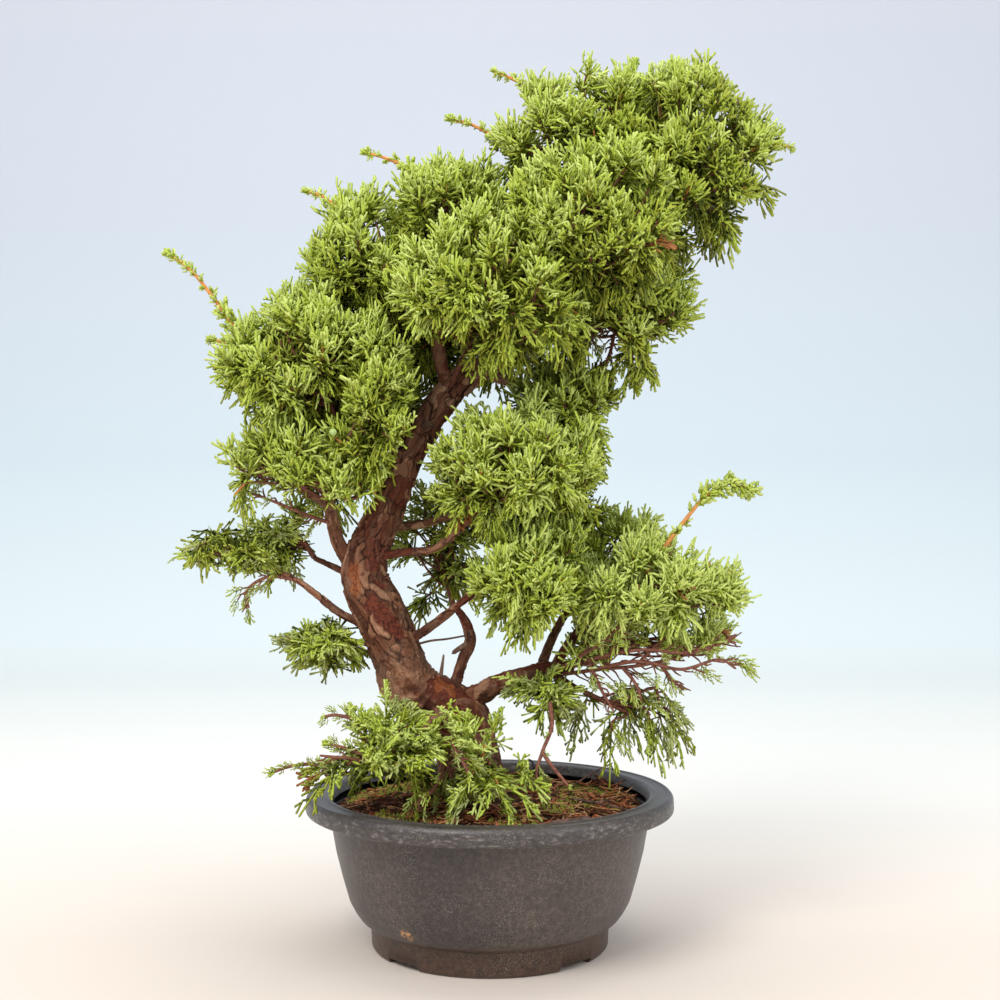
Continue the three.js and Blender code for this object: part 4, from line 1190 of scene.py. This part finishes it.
for name, count, dark, light in (("grains_dark", 2600, (30, 20, 15), (58, 38, 28)),
                                 ("grains_brown", 1500, (74, 48, 32), (112, 78, 54)),
                                 ("grains_pale", 420, (118, 92, 66), (160, 134, 104))):
    lay_out(name, scatter(count, 1.7, 0.8), dark, light, 0.92, 400, smooth=False, specular=0.2)
chips, moss = scatter(260, 4.2, 0.4, 0.7), scatter(9000, 1.1, 1.9, 0.6, 24.0, True)
lay_out("bark_chips", chips, (52, 32, 24), (104, 68, 48), 0.9, smooth=False, specular=0.2)
lay_out("moss", moss, (88, 102, 34), (166, 172, 72), 0.85, 240, smooth=False, specular=0.2)

rusty, brown, tan = Heap(), Heap(), Heap()
for lay, count, heap in ((lay_sprigs, 150, rusty), (lay_sprigs, 220, brown), (lay_needles, 380, rusty),
                         (lay_needles, 320, brown), (lay_needles, 300, tan)):
    lay(count, heap)
lay_out("fallen_leaves", rusty, (132, 66, 34), (186, 108, 62), 0.8)
lay_out("fallen_needles", tan, (160, 106, 62), (216, 168, 114), 0.8)
lay_out("dead_leaves", brown, (60, 34, 22), (110, 66, 40), 0.85, specular=0.2)

# Small things that the photograph shows: sticks on the soil, a wire end, a cone, dead stubs
sticks = add_sticks(
    Heap(),
    (2.6, 9, (40, -86, 99), (50, -88, 101), (60, -86, 101.5), (72, -82, 98)),
    (1.7, 8, (56, -86, 101), (60, -80, 102), (66, -77, 99)),
    (1.6, 7, (76, 62, 103), (82, 66, 99), (88, 72, 95.5)),
    (1.2, 7, (84, 60, 99), (88, 66, 97), (92, 70, 94.5)),
    (0.8, 6, (58, 44, 98), (68, 52, 103), (80, 60, 108), (88, 64, 111)),
    (1.0, 6, (56, -6, 99.5), (70, -18, 99), (84, -30, 98.5), (95, -40, 97)),
    (0.7, 6, (70, -18, 99), (78, -14, 99.6), (84, -12, 98.5)),
)
lay_out("fallen_sticks", sticks, (58, 38, 32), (126, 92, 78), 0.85, 180, bumps=0.5)
wire = add_sticks(
    Heap(), (0.9, 8, (25, 92, 93), (26, 93, 103), (28, 93, 108.5), (31, 92, 107), (32, 91, 102)))
lay_out("wire_end", wire, (22, 22, 24), (44, 44, 46), 0.45)


def ball(middle, radii, rings, sides):
    polar = np.linspace(0.02, np.pi - 0.02, rings)[:, None]
    angle = ring_angles(sides)
    x, y, z = np.sin(polar) * np.cos(angle), np.sin(polar) * np.sin(angle), np.cos(polar) + 0 * angle
    return grid(x, y, z) * radii + middle, grid_faces(rings, sides)[:, TURNED_OVER]


cone, stubs = Heap(), Heap()
cone.add(*ball([-99, -74, 345.0], [2.5, 2.5, 2.3], 14, 18))
lay_out("berry_cone", cone, (150, 178, 96), (190, 206, 140), 0.55, slot="foliage", node="left_top", bumps=0.2)
stubs.add(*tube([(-37, 10, 167), (-34, 9, 181), (-32, 8, 195)], [2.1, 1.5, 0.7], 10))
add_sticks(stubs,
           (2.2, 10, (-16, 17, 202), (-21, 13, 199.5), (-25, 10, 197)),
           (0.9, 7, (-60, 2, 200), (-42, 7, 205), (-30, 12, 206), (-16, 18, 208)),
           (2.4, 10, (-46, 2, 352), (-43, -6, 354), (-40, -9, 353)))
lay_out("dead_stubs", stubs, (92, 66, 54), (150, 122, 102), 0.85, 220, slot="bark", node="snag", bumps=0.6)


# Stage, light and camera
def make_stage():
    """A pale floor that sweeps up behind the tree."""
    bend, back = 900.0, 1500.0
    turns = np.linspace(0, np.pi / 2, 24)[1:]
    sweep = [(back + bend * math.sin(t), bend - bend * math.cos(t)) for t in turns]
    profile = [(-4000, 0), (0, 0), (back, 0), *sweep, (back + bend, 5000)]
    across = np.linspace(-5000, 5000, 9)
    vertices = np.array([(x, y, z) for y, z in profile for x in across])
    return vertices, grid_faces(len(profile), len(across), closed=False)


def stage_material():
    """Cream paper that turns pale blue with distance and height."""
    made, tree = new_material("stage_paper", 0.9, 0.1)
    away = height_node(tree, 2.0, math.atan(0.15))
    paint(tree, ramp(tree, away, (0.0, 226, 214, 203), (0.0375, 237, 235, 229), (0.075, 234, 236, 231),
                     (0.1125, 232, 238, 236), (0.16, 229, 239, 240), (0.36, 214, 226, 232),
                     (0.66, 215, 221, 231), (1.0, 220, 223, 233)))
    return made


def place_in_scene(name, data, place, turn):
    made = bpy.data.objects.new(name, data)
    made.location, made.rotation_euler = place, turn
    bpy.context.scene.collection.objects.link(made)
    return made


def area_light(name, place, aim, size, power, colour):
    data = bpy.data.lights.new(name, "AREA")
    data.shape, data.size, data.energy, data.color = "DISK", size, power, colour
    x, y, z = np.array(place) - np.array(aim)
    place_in_scene(name, data, place, (math.acos(z / math.hypot(x, y, z)), 0, math.atan2(y, x) + math.pi / 2))


make_mesh("floor", *make_stage(), stage_material())
world = bpy.data.worlds.new("studio")
world.use_nodes = True
world.node_tree.nodes["Background"].inputs["Color"].default_value = (0.93, 0.96, 1.0, 1)
world.node_tree.nodes["Background"].inputs["Strength"].default_value = 0.8
bpy.context.scene.world = world
bpy.context.scene.view_settings.view_transform = "Standard"
area_light("key", (-0.9, -1.5, 1.9), (0, 0, 0.35), 1.3, 34, (1.0, 0.98, 0.94))
area_light("fill", (1.4, -1.2, 0.9), (0, 0, 0.3), 1.4, 10, (0.95, 0.98, 1.0))
area_light("top", (0.1, 0.3, 2.2), (0, 0.1, 0.3), 1.6, 16, (1.0, 0.99, 0.97))

lens = bpy.data.cameras.new("camera")
lens.sensor_width, lens.lens, lens.clip_start = 36, 54, 0.05  # as FOCAL for a picture 1000 wide
bpy.context.scene.camera = place_in_scene("camera", lens, tuple(EYE * MM), (math.pi / 2, 0, 0))
